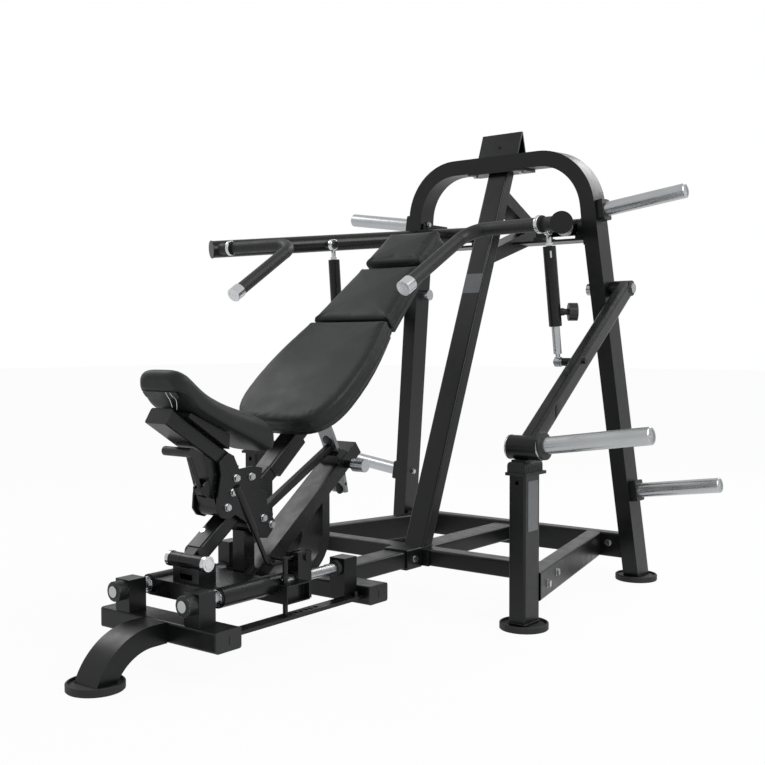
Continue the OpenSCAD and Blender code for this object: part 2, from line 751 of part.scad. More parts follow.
plunger_d = 14;
lock_gap = 0.5;         // the drawn plunger's tip stands this far over the position bar
rod_d = 13;
rod_pin_d = 8;
rod_back_y = rear_tube_y[1] + 28;
rod_back_z = 246;
rod_knee = [-537, 242];
rod_top = [-650, 460];

module release_rod() color(black) {
  k = (rod_top - rod_knee) / norm(rod_top - rod_knee);
  g = rod_knee + 112 * k;
  difference() {
    union() {
      bent_rod([rod_x, rod_back_y, rod_back_z], [rod_x, rod_knee[0], rod_knee[1]],
               [rod_x, rod_top[0], rod_top[1]], rod_d, 30);
      bar_x(rod_x - 7.5, rod_x + 7.5, rod_back_y, rod_back_z, 22);
    }
    bar_x(rod_x - 9, rod_x + 9, rod_back_y, rod_back_z, rod_pin_d + 2 * run_gap);
  }
  // grip
  rod([rod_x, g[0], g[1]], [rod_x, rod_top[0] + 4 * k[0], rod_top[1] + 4 * k[1]], 20);
}

module lock_plunger() color(black) {
  pick = rod_back_z - 3;
  low = position_bar_z + position_bar_t + lock_gap;
  translate([lock_x, lock_y, low]) cylinder(h = pick + 20 - low, d = plunger_d);
  translate([lock_x, lock_y, rear_tube_z[1] + 15]) cylinder(h = 10, d = plunger_d + 8);
  bar_x(rod_x - 12, lock_x, lock_y, pick + rod_d / 2 + 5.5, 8);
}

// ---------------------------------------------------------------- tilting bench

back_dir = [cos(back_angle), sin(back_angle)];
back_out = [-sin(back_angle), cos(back_angle)];
pad_origin = [-46, 910];        // on the front face of the pads, at the seam between them
function back_point(along, out) = pad_origin + along * back_dir + out * back_out;

// Things drawn across the back: first axis X, second up the back, carried outwards.
module on_back(out) translate([0, back_point(0, out)[0], back_point(0, out)[1]])
  rotate([back_angle, 0, 0]) children();

board_t = 14;
tube_depth = 85;                // from the pads' front face to the back tube
back_tube_w = 60;
back_tube_t = 42;
back_tube_end = 330;
hub_y = -606;
hub_z = 396;
hub_d = 52;
hub_pin_d = 16;
bolts = [[-573, 471], [-516, 470], [-585, 434], [-470, 351], [-438, 329]];

module plate_shape() difference() {
  polygon([[-628, 485], [-634, 519], [-602, 542], [-581, 532], [-561, 494], [-509, 498], [-472, 490],
           [-485, 432], [-457, 422], [-454, 389], [-425, 336], [-435, 311], [-454, 293], [-482, 297],
           [-510, 330], [-534, 346], [-576, 373], [-603, 363], [-629, 371], [-643, 390], [-640, 427]]);
  translate([hub_y, hub_z]) circle(d = hub_pin_d + 0.02);
}

module side_plates() color(black) both() along_x(plate_x, plate_x + plate_t) plate_shape();

module plate_bolts() color(chrome) {
  both() for (b = bolts) translate([plate_x + plate_t, b[0], b[1]]) rotate([0, 90, 0]) bolt_head(10);
  both() translate([plate_x + plate_t, hub_y, hub_z]) rotate([0, 90, 0]) bolt_head(10);
  bar_x(-plate_x - plate_t - 0.5, plate_x + plate_t + 0.5, hub_y, hub_z, hub_pin_d);
}

// Box beam from the bench pivot up between the plates, in line with the back tube.
box_w = 56;
box_t = 44;
box_front = [-670, 281];

module bench_box() color(black) difference() {
  union() {
    p = back_point(-560, -tube_depth - back_tube_t / 2);
    between([0, box_front[0], box_front[1]], [0, p[0], p[1]]) section(box_t, box_w, 5);
    along_x(-box_w / 2, box_w / 2) translate(box_front) circle(d = box_t - 6);
    // knuckle on the pivot pin
    along_x(-knuckle_half, knuckle_half) union() {
      translate([tilt_y, tilt_z]) circle(d = barrel_d - 1);
      polygon([[tilt_y - 4, tilt_z + 17], [tilt_y + 8, tilt_z - 15],
               [box_front[0] + 16, box_front[1] - 15], [box_front[0] - 8, box_front[1] + 18]]);
    }
    // cross tube that the plates are bolted to
    bar_x(-plate_x, plate_x, bolts[0][0] + 40, bolts[0][1] - 75, 30);
  }
  bar_x(-far, far, tilt_y, tilt_z, tilt_pin_d + 2 * run_gap);
  both() bar_x(knuckle_half, far, tilt_y, tilt_z, barrel_d + 3);
}

// A section carried along the tube behind the back pads.
module back_bar() {
  low = back_point(-585, -tube_depth - back_tube_t / 2);
  high = back_point(back_tube_end, -tube_depth - back_tube_t / 2);
  between([0, low[0], low[1]], [0, high[0], high[1]]) children();
}

module back_tube() color(black) {
  joint = back_point(-560, -tube_depth - back_tube_t / 2);
  // the lower end is cut to meet the box beam
  difference() {
    back_bar() section(back_tube_t, back_tube_w);
    turned(joint[0], joint[1], atan2(joint[1] - box_front[1], joint[0] - box_front[0]))
      translate([-100, -300, -100]) cube([200, 300, 200]);
  }
  // shorter bar under it
  under_low = back_point(-540, -tube_depth - back_tube_t - 9);
  under_high = back_point(-402, -tube_depth - back_tube_t - 9);
  between([0, under_low[0], under_low[1]], [0, under_high[0], under_high[1]]) rounded(18, 40, 4);
  // two cross ribs that carry the boards
  for (u = [-250, 60, 250]) on_back(-tube_depth) translate([-75, u - 20, 0]) cube([150, 40, tube_depth - pad_t - board_t]);
}

sector_low = 8.2;
sector_high = 37;

module sector_strap() color(zinc) {
  difference() {
    union() {
      ring_sector(sector_r, sector_t, sector_w, sector_low + 2.4, sector_high);
      // rounded lower end
      intersection() {
        ring_sector(sector_r, sector_t, sector_w, sector_low - 1, sector_low + 2.5);
        turned(tilt_y, tilt_z, sector_low + 2.4) rotate([0, 90, 0]) cylinder(h = 2 * sector_r, d = sector_w);
      }
    }
    for (a = [sector_a0 - 7.3, sector_a0, sector_a0 + 7.3]) turned(tilt_y, tilt_z, a)
      translate([0, sector_r, 0]) rotate([90, 0, 0]) linear_extrude(60, center = true) rounded(38, 24, 11.9);
    for (i = [0:3]) turned(tilt_y, tilt_z, sector_a0 - i * tilt_step)
      bar_x(0, sector_w, sector_r, 0, pin_d + 0.6);
    back_bar() rounded(back_tube_t, back_tube_w, tube_r);
  }
}

module tie_bar() color(black) {
  a = [tilt_y, tilt_z] + (sector_r + 2) * [cos(24.3), sin(24.3)];
  difference() {
    between([0, -440, 352], [0, a[0], a[1]]) difference() {
      rounded(20, 24, 3);
      translate([9, 0]) square([4, 8], center = true);
    }
    ring_sector(sector_r + 20, sector_t + 40, sector_w, 15, 35);
  }
  bar_x(-plate_x, plate_x, -438, 355, 26);
}

rest_y = -498;
rest_z = 318;

module rest_bumper() color(rubber) {
  bar_x(-plate_x, plate_x, rest_y, rest_z + 14, 27);
}

// Outline of the back boards and pads: half widths against distance up the back.
head_half = [116, 103];
upper_half = [154, 119];
lower_half = [154, 197];
upper_len = 275;
lower_len = 456;
head_u = [287, 455];

module head_shape(inset = 0) polygon([
  [-head_half[0] + inset, head_u[0] + inset], [head_half[0] - inset, head_u[0] + inset],
  [head_half[1] - inset, head_u[1] - inset], [-head_half[1] + inset, head_u[1] - inset]]);

module upper_shape(inset = 0) polygon([
  [-upper_half[0] + inset, 1.5 + inset], [upper_half[0] - inset, 1.5 + inset],
  [upper_half[1] - inset, upper_len - inset], [-upper_half[1] + inset, upper_len - inset]]);

module lower_shape(inset = 0) {
  w = lower_half[1] - inset;
  low = -lower_len + inset;
  side = concat(
    [for (t = [0:0.2:1]) [lower_half[0] - inset + (w - lower_half[0] + inset) * sin(90 * t), -1.5 - inset - 264 * t]],
    [for (a = [9:9:81]) [w * pow(cos(a), 0.5), -265 - inset + (low + 265 + inset) * pow(sin(a), 0.72)]],
    [[0, low]]);
  polygon(concat(side, [for (i = [len(side) - 2:-1:0]) [-side[i][0], side[i][1]]]));
}

module back_board() color(plastic) {
  on_back(-pad_t - board_t) linear_extrude(board_t - 0.3) union() {
    lower_shape(12);
    upper_shape(12);
    translate([-60, -20]) square([120, 40]);
    head_shape(12);
    translate([-50, upper_len - 20]) square([100, 50]);
  }
}

module headrest_pad() color(leather) on_back(-pad_t) linear_extrude(pad_t + 8) head_shape();
module upper_back_pad() color(leather) on_back(-pad_t) linear_extrude(pad_t) upper_shape();
module lower_back_pad() color(leather) on_back(-pad_t) linear_extrude(pad_t) lower_shape();

pin_y = tilt_y + sector_r * cos(sector_a0);
pin_z = tilt_z + sector_r * sin(sector_a0);
pin_d = 9;

module pull_pin() color(chrome) {
  bar_x(sector_w / 2 + 0.6, strut_w / 2 + 50, pin_y, pin_z, pin_d);
  difference() {
    bar_x(strut_w / 2 + 34.3, strut_w / 2 + 78, pin_y, pin_z, 40);
    for (a = [0:15:345]) turned(pin_y, pin_z, a)
      translate([strut_w / 2 + 56, 21, 0]) cube([50, 4, 2.4], center = true);
    translate([strut_w / 2 + 50, pin_y, pin_z]) rotate([0, 90, 0]) rotate_extrude()
      translate([20, 3]) square([5, 5]);
  }
}

// ---------------------------------------------------------------- seat

seat_front = [-796, 648];
seat_tube_w = 84;
seat_tube_t = 45;
seat_tube_len = 233;
seat_dir = [cos(seat_angle), -sin(seat_angle)];
seat_up = [sin(seat_angle), cos(seat_angle)];
function seat_point(along, out) = seat_front + along * seat_dir + out * seat_up;

module seat_frame() color(black) {
  seat_body();
  bar_x(-3, 31, latch_y, latch_z, latch_pin_d);
}

module seat_body() difference() {
  union() {
    a = seat_point(0, 0);
    b = seat_point(seat_tube_len, 0);
    between([0, a[0], a[1]], [0, b[0], b[1]]) section(seat_tube_t, seat_tube_w);
    // end plate of the tube
    e = seat_point(4, 0);
    between([0, a[0], a[1]], [0, e[0], e[1]]) rounded(seat_tube_t - 1, seat_tube_w - 1, tube_r);
    // block down to the hub, with its ribs
    along_x(-34, 34) polygon([seat_point(150, -20), seat_point(seat_tube_len, -20),
                              [hub_y + 24, hub_z + 10], [hub_y - 24, hub_z - 4]]);
    for (t = [0.25, 0.55, 0.85]) along_x(-37, 37) translate([hub_y, hub_z + 26 + 74 * t])
      square([66 - 6 * t, 5], center = true);
    bar_x(-plate_x + 0.5, plate_x - 0.5, hub_y, hub_z, hub_d);
    // fork of the lever under the nose
    for (x = [-4, 26.5]) along_x(x, x + 5.5)
      polygon([[latch_y + 35, 418], [latch_y + 14, 478], [latch_y - 11, 455], [latch_y - 11, 436]]);
    // brackets under the seat board
    along_x(-60, 60) polygon([seat_point(40, 22), seat_point(210, 22), [-606, seat_under(-606)], [-742, seat_under(-742)]]);
  }
  bar_x(-far, far, hub_y, hub_z, hub_pin_d + 2 * run_gap);
}

seat_half = 98;

// Height of the underside of the seat at a place front to back.
function seat_under(y) = 658 - 0.4643 * (y + 748);

// Side view of the seat: rounded nose, hollowed top and straight underside.
module seat_side(drop) polygon([
  [-796, 706], [-801, 720], [-806, 738], [-802 + 0.1 * drop, 756 - 0.5 * drop], [-788, 767 - drop],
  [-772, 766 - drop], [-748, 741 - drop], [-718, 718 - drop], [-687, 700 - drop], [-655, 686 - drop],
  [-623, 674 - drop], [-590, 663 - drop], [-558, 652 - drop], [-522, 642 - drop], [-489, 630 - drop],
  [-462, 614 - drop], [-446, 594 - 0.6 * drop], [-440, 574], [-446, 550], [-464, 530], [-480, seat_under(-480)],
  [-748, seat_under(-748)]]);

module seat_pad() color(leather) {
  along_x(-seat_half, seat_half) seat_side(22);
  along_x(-seat_half + 14, seat_half - 14) seat_side(10);
  along_x(-seat_half + 40, seat_half - 40) seat_side(0);
}

latch_y = -668;
latch_z = 444;
latch_pin_d = 10;
grip_y = -714;
grip_z = 549;

module seat_lever() color(black) difference() {
  union() {
    bar_x(2, 26, latch_y, latch_z, 22);
    rod([14, latch_y, latch_z], [14, grip_y, grip_z], 12);
    bar_x(-72, 34, grip_y, grip_z, 25);
  }
  bar_x(0, 30, latch_y, latch_z, latch_pin_d + 2 * run_gap);
}

// ---------------------------------------------------------------- press arms

arm_root = [arm_x0, arm_y, arm_z];
arm_tip = [arm_x1, arm_front_y, arm_front_z];
arm_dir = (arm_tip - arm_root) / norm(arm_tip - arm_root);
function arm_at(y) = arm_root + arm_dir * (y - arm_y) / arm_dir[1];
link_y1 = 408;
link_x1 = 443;
link_pin_d = 15;
knob_turn = 52;         // turn of the knob's axis outwards from the back, in degrees

module arm(s) color(black) on_side(s) difference() {
  union() {
    rod(arm_root, arm_tip - 3 * arm_dir, arm_d);
    rod(arm_tip - 4 * arm_dir, arm_tip, arm_d + 3);
    bar_x(arm_x0 - 55, arm_x0 + 55, arm_y, arm_z, arm_d);
    bar_x(block_x[0] - 24, block_x[1] + 20, arm_y, arm_z, arm_shaft_d);
    // boss and pin for the link's upper eye
    bar_x(link_x1 + 10, arm_at(link_y1)[0], link_y1, link_z1, 22);
    bar_x(link_x1 - 15, link_x1 + 11, link_y1, link_z1, link_pin_d);
    bar_x(link_x1 - 16, link_x1 - 10, link_y1, link_z1, 24);
  }
  rod(arm_root + 34 * arm_dir, arm_tip - 8 * arm_dir, arm_d - 7);
  bar_x(arm_x0 - 51, arm_x0 + 51, arm_y, arm_z, arm_shaft_d - 12);
}

handle_root = [613, 59, 1163];
handle_bend = [350, 104, 1166];
handle_tip = [333, -202, 984];

module handle(s) color(black) on_side(s) difference() {
  handle_body();
  rod(arm_root, arm_tip, arm_d);
}

module handle_body() {
  a = arm_at(59);
  bent_rod([a[0] - 20, 59, 1163], handle_bend, handle_tip, grip_d, 62);
  d = (handle_tip - handle_bend) / norm(handle_tip - handle_bend);
  rod(handle_tip - 26 * d, handle_tip + 2 * d, grip_d + 5);
  rod(handle_root + [-6, 1, 0], handle_root + [10, -2, 0], grip_d + 8);
}

// ---------------------------------------------------------------- weight levers

lever_x0 = leg_out(lever_z) + 4;        // boss of the lever on its bolt
lever_x1 = lever_x0 + 76;
lever_mid = (lever_x0 + lever_x1) / 2 + 14;
sleeve_x = 548;
sleeve_half = 51;
sleeve_z = 530;
sleeve_low = sleeve_z - lever_sleeve_d / 2;
lever_t = 44;
lever_deep = 60;

module lever(s) color(black) on_side(s) difference() {
  union() {
    between([lever_mid, lever_y, lever_z], [sleeve_x, sleeve_y, sleeve_z]) rounded(lever_deep, lever_t, 14);
    bar_x(lever_x0, lever_x1, lever_y, lever_z, 54);
    bar_x(sleeve_x - sleeve_half, sleeve_x + sleeve_half, sleeve_y, sleeve_z, lever_sleeve_d);
    // boss for the link, and its nut outside
    bar_x(lever_link_x, link_lever_x, link_y0, link_z0, 26);
    bar_x(link_lever_x, link_lever_x + 34, link_y0 + 6, link_z0 + 4, 20);
  }
  bar_x(-far, far, lever_y, lever_z, lever_bolt_d + 2 * run_gap);
  between([lever_mid, lever_y, lever_z] - [0, 60, 37.7], [sleeve_x, sleeve_y, sleeve_z] + [0, 60, 37.7])
    rounded(lever_deep - 7, lever_t - 7, 10.5);
}

horn_root = [sleeve_x + sleeve_half - 4, sleeve_y, sleeve_z + (sleeve_half - 4) * tan(horn_rise)];

module weight_horn(s) color(chrome) on_side(s) difference() {
  translate(horn_root) rotate([0, 90 - horn_rise, 0]) {
    translate([0, 0, 2]) cylinder(h = 12, d = 80);
    translate([0, 0, 14 - eps]) horn_bar(horn_len);
  }
  bar_x(0, sleeve_x + sleeve_half, sleeve_y, sleeve_z, 2 * lever_sleeve_d);
}

// ---------------------------------------------------------------- links

link_y0 = 458;
link_x0 = 455;
lever_link_x = link_x0 + 16;
link_lever_x = 516;
link_top = [link_x1, link_y1, link_z1];
link_low = [link_x0, link_y0, link_z0];
link_dir = (link_top - link_low) / norm(link_top - link_low);
function link_at(up) = link_low + up * link_dir;
link_len = norm(link_top - link_low);
link_tube_d = 41;
link_tube_low = 114;
link_tube_high = link_len - 54;
link_rod_d = 26;
knob_up = 160;

// Axis of the link's locking knob, turned outwards.
module on_knob() translate(link_at(knob_up)) rotate([0, 0, -knob_turn]) rotate([-90, 0, 0]) children();

module link_tube(s) color(black) on_side(s) {
  difference() {
    rod(link_at(link_tube_low), link_at(link_tube_high), link_tube_d);
    rod(link_at(link_tube_low - 1), link_at(link_tube_high - 40), link_rod_d + 0.4);
    on_knob() cylinder(h = 60, d = 10.2);
  }
  // boss of the knob
  on_knob() difference() {
    translate([0, 0, link_tube_d / 2 - 4]) cylinder(h = 14, d = 24);
    translate([0, 0, -1]) cylinder(h = 60, d = 10.2);
  }
  rod(link_at(link_tube_high - 2), link_at(link_len - 14), 16);
  difference() {
    bar_x(link_x1 - 9, link_x1 + 9, link_y1, link_z1, 40);
    bar_x(link_x1 - 20, link_x1 + 20, link_y1, link_z1, link_pin_d + 2 * run_gap);
  }
}

module link_rod(s) color(chrome) on_side(s) {
  rod(link_at(26), link_at(link_tube_high - 60), link_rod_d);
  rod(link_at(10), link_at(28), 15);
  bar_x(link_x0 - 9, link_x0 + 9, link_y0, link_z0, 32);
  bar_x(link_x0 - 15, link_x0 + 15, link_y0, link_z0, 16);
}

module link_knob(s) color(plastic) on_side(s) on_knob() {
  translate([0, 0, 14]) cylinder(h = 32, d = 10);
  translate([0, 0, link_tube_d / 2 + 11]) cylinder(h = 14, d = 20);
  difference() {
    translate([0, 0, 44]) cylinder(h = 28, d = 57);
    for (a = [0:30:330]) rotate([0, 0, a]) translate([31, 0, 40])
      cylinder(h = 60, d = 8, $fn = 24);
  }
}

// ---------------------------------------------------------------- nodes

arch();
column();
top_bracket();
rear_bracket();
pivot_plate();
pillow_blocks();
front_posts();
stop_bumpers();
side_beams();
rear_crossbar();
base_beams();
hub_bracket();
rubber_feet();
storage_horns();
storage_collars();
lever_pivots();
bench_crossbars();
tube_caps();
front_leg();
rail_blocks();
guide_shafts();
hole_bar();
frame_bolts();
carriage_frame();
slide_sleeves();
barrel_bracket();
pivot_barrel();
bench_strut();
bench_prop();
release_rod();
lock_plunger();
side_plates();
plate_bolts();
bench_box();
back_tube();
sector_strap();
tie_bar();
rest_bumper();
back_board();
headrest_pad();
upper_back_pad();
lower_back_pad();
pull_pin();
seat_frame();
seat_pad();
seat_lever();
arm(-1);  // arm_left
arm(1);  // arm_right
handle(-1);  // handle_left
handle(1);  // handle_right
lever(-1);  // lever_left
lever(1);  // lever_right
weight_horn(-1);  // weight_horn_left
weight_horn(1);  // weight_horn_right
link_tube(-1);  // link_tube_left
link_tube(1);  // link_tube_right
link_rod(-1);  // link_rod_left
link_rod(1);  // link_rod_right
link_knob(-1);  // link_knob_left
link_knob(1);  // link_knob_right
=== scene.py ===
"""Looks for a plate-loaded press machine: steel, chrome, rubber and upholstered pads round its frame."""

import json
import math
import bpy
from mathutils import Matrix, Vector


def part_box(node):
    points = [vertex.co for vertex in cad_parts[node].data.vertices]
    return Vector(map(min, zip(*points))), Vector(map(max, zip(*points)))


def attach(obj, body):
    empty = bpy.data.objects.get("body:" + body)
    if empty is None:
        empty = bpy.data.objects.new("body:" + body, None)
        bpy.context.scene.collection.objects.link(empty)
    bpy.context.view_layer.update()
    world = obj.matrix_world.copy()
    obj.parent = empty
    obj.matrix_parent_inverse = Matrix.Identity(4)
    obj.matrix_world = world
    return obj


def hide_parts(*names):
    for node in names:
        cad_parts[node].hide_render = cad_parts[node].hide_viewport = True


bl_info = {
    "name": "Press machine",
    "version": (1, 0, 0),
    "blender": (4, 5, 0),
    "location": "View3D > Sidebar > Press machine",
    "description": "Finishes and upholsters a plate-loaded press machine round its packed frame",
    "category": "Object",
}

import bmesh
import bpy
import numpy as np
from mathutils import Vector
from mathutils.bvhtree import BVHTree

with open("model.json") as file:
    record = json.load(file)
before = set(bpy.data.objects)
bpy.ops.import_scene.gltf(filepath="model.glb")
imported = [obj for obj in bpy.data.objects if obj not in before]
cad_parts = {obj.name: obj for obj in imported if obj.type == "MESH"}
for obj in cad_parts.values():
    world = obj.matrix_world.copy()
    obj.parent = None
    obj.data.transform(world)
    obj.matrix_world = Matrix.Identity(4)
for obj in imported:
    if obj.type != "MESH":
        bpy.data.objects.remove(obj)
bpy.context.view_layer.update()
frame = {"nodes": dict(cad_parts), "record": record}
SLOT_OF = {part["node"]: part["material_slot"] for part in frame["record"]["subparts"]}
MM = 0.001
SIDES = (("left", -1.0), ("right", 1.0))
SEAT_ROWS, SEAT_SPOKES = 96, 72
HORN_RISE = math.radians(8.0)  # how far the plate horns lean up from level
SHAFT_X, SHAFT_Z = 0.132, 0.188  # where the right guide shaft runs
BARREL_Y, BARREL_Z = -0.698, 0.262  # axis of the barrel that the bench tilts on
SLEEVE_Y, SLEEVE_Z = 0.100, 0.530  # axis of the sleeve at a weight lever's lower end
CRISP_ANGLE = math.radians(38)  # edges sharper than this stay sharp
PLASTIC_IOR = 1.5  # paint, vinyl, rubber and nylon alike
CLOTH_FRAMES = 20
FLOOR_GLOW = 0.95  # share of the floor that shows plain white; the rest holds the shadow
WHITE = (1.0, 1.0, 1.0, 1.0)


# ---------------------------------------------------------------- numbers and curves


def node_points(name):
    """All corners of a node's mesh at rest, as rows of x, y, z in metres."""
    mesh = frame["nodes"][name].data
    flat = np.empty(len(mesh.vertices) * 3)
    mesh.vertices.foreach_get("co", flat)
    return flat.reshape(-1, 3)


def unit(vector):
    """The vector divided by its length."""
    vector = np.asarray(vector, float)
    return vector / np.linalg.norm(vector)


def spread(points, count, closed=False):
    """Points at equal steps of arc length along straight lines through the given points."""
    points = np.asarray(points, float)
    if closed:
        points = np.vstack([points, points[:1]])
    reach = np.concatenate([[0.0], np.cumsum(np.linalg.norm(np.diff(points, axis=0), axis=1))])
    at = np.linspace(0.0, reach[-1], count, endpoint=not closed)
    return np.stack([np.interp(at, reach, points[:, k]) for k in range(points.shape[1])], axis=1)


def smooth_line(points, count):
    """A Catmull-Rom curve: each stretch is the cubic whose end slopes are half the chord over its neighbours."""
    points = np.asarray(points, float)
    padded = np.vstack([2 * points[0] - points[1], points, 2 * points[-1] - points[-2]])
    at = np.linspace(0.0, len(points) - 1.0, 12 * len(points))
    index = np.minimum(at.astype(int), len(points) - 2)
    t = (at - index)[:, None]
    a, b, c, d = (padded[index + k] for k in range(4))
    cubic = 0.5 * (2 * b + (c - a) * t + (2 * a - 5 * b + 4 * c - d) * t**2 + (3 * b - a - 3 * c + d) * t**3)
    return spread(cubic, count)


def rounded(loop, radius):
    """A closed loop of even steps, each point moved to the bell-weighted mean of its neighbours."""
    step = np.linalg.norm(loop[1] - loop[0])
    reach = max(int(2 * radius / step), 1)
    weights = np.exp(-0.5 * (np.arange(-reach, reach + 1) * step / (0.5 * radius)) ** 2)
    weights /= weights.sum()
    return sum(w * np.roll(loop, k, axis=0) for w, k in zip(weights, range(-reach, reach + 1)))


# ---------------------------------------------------------------- meshes


def quads(rows, columns, around=False):
    """Corner numbers of the quads of a grid of rows by columns, whose columns may join up round a loop."""
    wide = columns if around else columns - 1
    i, j = np.meshgrid(np.arange(rows - 1), np.arange(wide), indexing="ij")
    k = (j + 1) % columns
    return np.stack([i * columns + j, i * columns + k, (i + 1) * columns + k, (i + 1) * columns + j], -1).reshape(-1, 4)


def make_piece(name, parts, material, body, bevel=0.0):
    """A closed, outward-facing mesh from (points, faces) parts, which rides on a body and takes a slot's finish."""
    points, faces, start = [], [], 0
    for part_points, part_faces in parts:
        points.append(part_points)
        faces.extend((np.asarray(part_faces) + start).tolist())
        start += len(part_points)
    mesh = bpy.data.meshes.new(name)
    mesh.from_pydata(np.vstack(points).tolist(), [], faces)
    shape = bmesh.new()
    shape.from_mesh(mesh)
    bmesh.ops.remove_doubles(shape, verts=shape.verts, dist=1e-6)
    bmesh.ops.holes_fill(shape, edges=[e for e in shape.edges if e.is_boundary], sides=0)
    bmesh.ops.recalc_face_normals(shape, faces=shape.faces)
    shape.to_mesh(mesh)
    shape.free()
    mesh.materials.append(material)
    mesh.shade_smooth()
    piece = bpy.data.objects.new(name, mesh)
    bpy.context.scene.collection.objects.link(piece)
    if bevel:
        edge = piece.modifiers.new("Edge", "BEVEL")
        edge.width, edge.segments, edge.limit_method = bevel, 2, "ANGLE"
    else:
        piece.modifiers.new("Crisp", "EDGE_SPLIT").split_angle = CRISP_ANGLE
    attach(piece, body)
    return piece


def across(axis, hint=(0.0, 0.0, 1.0)):
    """Two directions square to an axis and to each other."""
    axis = unit(axis)
    hint = np.asarray(hint, float)
    if abs(axis @ hint) > 0.95:
        hint = np.array([0.0, 1.0, 0.0])
    first = unit(np.cross(hint, axis))
    return first, np.cross(axis, first)


def turned(profile, origin, axis, steps=64, flutes=0, flute_depth=0.0):
    """A lathe shape: each (radius, height) goes round the axis, with the radius dipping in a cosine at flutes."""
    profile = np.asarray(profile, float)
    u, v = across(axis)
    angle = np.linspace(0.0, 2 * math.pi, steps, endpoint=False)
    dip = flute_depth * (0.5 - 0.5 * np.cos(flutes * angle)) if flutes else np.zeros(steps)
    radius = np.maximum(profile[:, :1] - dip[None, :] * (profile[:, :1] > 0), 0.0)
    points = (
        np.asarray(origin, float)
        + profile[:, 1][:, None, None] * unit(axis)
        + radius[:, :, None] * (np.cos(angle)[:, None] * u + np.sin(angle)[:, None] * v)
    )
    return points.reshape(-1, 3), quads(len(profile), steps, around=True)


def disc_profile(radius, low, high, round_off=0.0008):
    """Half the outline of a solid disc with rounded rims."""
    turn = np.linspace(0.0, math.pi / 2, 5)
    top = np.stack([radius - round_off + round_off * np.cos(turn), high - round_off + round_off * np.sin(turn)], 1)
    low_rim = top[::-1] * [1, -1] + [0, low + high]
    return np.vstack([[0.0, low], low_rim, top, [0.0, high]])


def ring_profile(inner, outer, low, high, round_off=0.0008):
    """The outline of a ring's section, with rounded outer rims, closed on itself."""
    rim = disc_profile(outer, low, high, round_off)[1:-1]
    return np.vstack([[inner, low], rim, [inner, high], [inner, low]])


def tube_along(path, radius, steps=16, closed=False):
    """A round tube: circles square to the path, each frame carried on from the last by the least turn."""
    path = np.asarray(path, float)
    along = np.gradient(path, axis=0) if not closed else np.roll(path, -1, 0) - np.roll(path, 1, 0)
    along /= np.linalg.norm(along, axis=1)[:, None]
    side = np.empty_like(path)
    side[0] = across(along[0])[0]
    for k in range(1, len(path)):
        side[k] = unit(side[k - 1] - (side[k - 1] @ along[k]) * along[k])
    up = np.cross(along, side)
    angle = np.linspace(0.0, 2 * math.pi, steps, endpoint=False)
    radius = np.broadcast_to(radius, (len(path),))[:, None, None]
    ring = np.cos(angle)[None, :, None] * side[:, None] + np.sin(angle)[None, :, None] * up[:, None]
    points = path[:, None] + radius * ring
    if closed:
        points = np.concatenate([points, points[:1]])
    return points.reshape(-1, 3), quads(len(points), steps, around=True)


def plate(centre, across_dir, up_dir, width, height, thickness, corner=0.003):
    """A rounded-corner plate or bar: a rounded rectangle centred in the plane, carried out along its normal."""
    x, y = unit(across_dir), unit(up_dir)
    angle = np.linspace(0.0, 2 * math.pi, 48, endpoint=False) + math.pi / 4
    c, s = np.cos(angle), np.sin(angle)
    wide = np.sign(c) * (width / 2 - corner) + corner * c
    tall = np.sign(s) * (height / 2 - corner) + corner * s
    flat = np.asarray(centre, float) + wide[:, None] * x + tall[:, None] * y
    normal = np.cross(x, y)
    rings = [np.broadcast_to(flat.mean(0), flat.shape), flat, flat + thickness * normal]
    rings.append(np.broadcast_to(rings[2].mean(0), flat.shape))
    return np.vstack(rings), quads(4, len(flat), around=True)


# ---------------------------------------------------------------- materials


def linear(hex_colour):
    """sRGB hex to linear red, green, blue and alpha."""
    srgb = [int(hex_colour[k : k + 2], 16) / 255 for k in (1, 3, 5)]
    return tuple(c / 12.92 if c <= 0.04045 else ((c + 0.055) / 1.055) ** 2.4 for c in srgb) + (1.0,)


def add_node(tree, kind, settings=None, **inputs):
    """Adds a shader node. A value that is a socket is linked, and any other is set on the input of that name.

    An underscore in a name stands for a space, and n0, n1 and so on are inputs by number.
    """
    node = tree.nodes.new(kind)
    for key, value in (settings or {}).items():
        setattr(node, key, value)
    for key, value in inputs.items():
        numbered = key[0] == "n" and key[1:].isdigit()
        socket = node.inputs[int(key[1:]) if numbered else key.replace("_", " ")]
        if isinstance(value, bpy.types.NodeSocket):
            tree.links.new(value, socket)
        else:
            socket.default_value = value
    return node


def per_metre(size_mm):
    """The scale of a texture whose features are about this many millimetres apart."""
    return 1000.0 / size_mm


def start_material(name):
    """An empty node material with its Principled shader and Object coordinates."""
    material = bpy.data.materials.new(name)
    material.use_nodes = True
    tree = material.node_tree
    tree.nodes.clear()
    shader = add_node(tree, "ShaderNodeBsdfPrincipled")
    add_node(tree, "ShaderNodeOutputMaterial", Surface=shader.outputs["BSDF"])
    coords = add_node(tree, "ShaderNodeTexCoord").outputs["Object"]
    return material, tree, shader, coords


def noise(tree, coords, size_mm, detail=2.0, roughness=0.5):
    """Noise with patches about this many millimetres across."""
    return add_node(
        tree, "ShaderNodeTexNoise", Vector=coords, Scale=per_metre(size_mm), Detail=detail, Roughness=roughness
    ).outputs["Fac"]


def between(tree, factor, low, high):
    """A value that goes from low to high as the factor goes from 0.3 to 0.7, where noise mostly lies."""
    node = add_node(tree, "ShaderNodeMapRange", Value=factor)
    for key, value in (("From Min", 0.3), ("From Max", 0.7), ("To Min", low), ("To Max", high)):
        node.inputs[key].default_value = value
    return node.outputs["Result"]


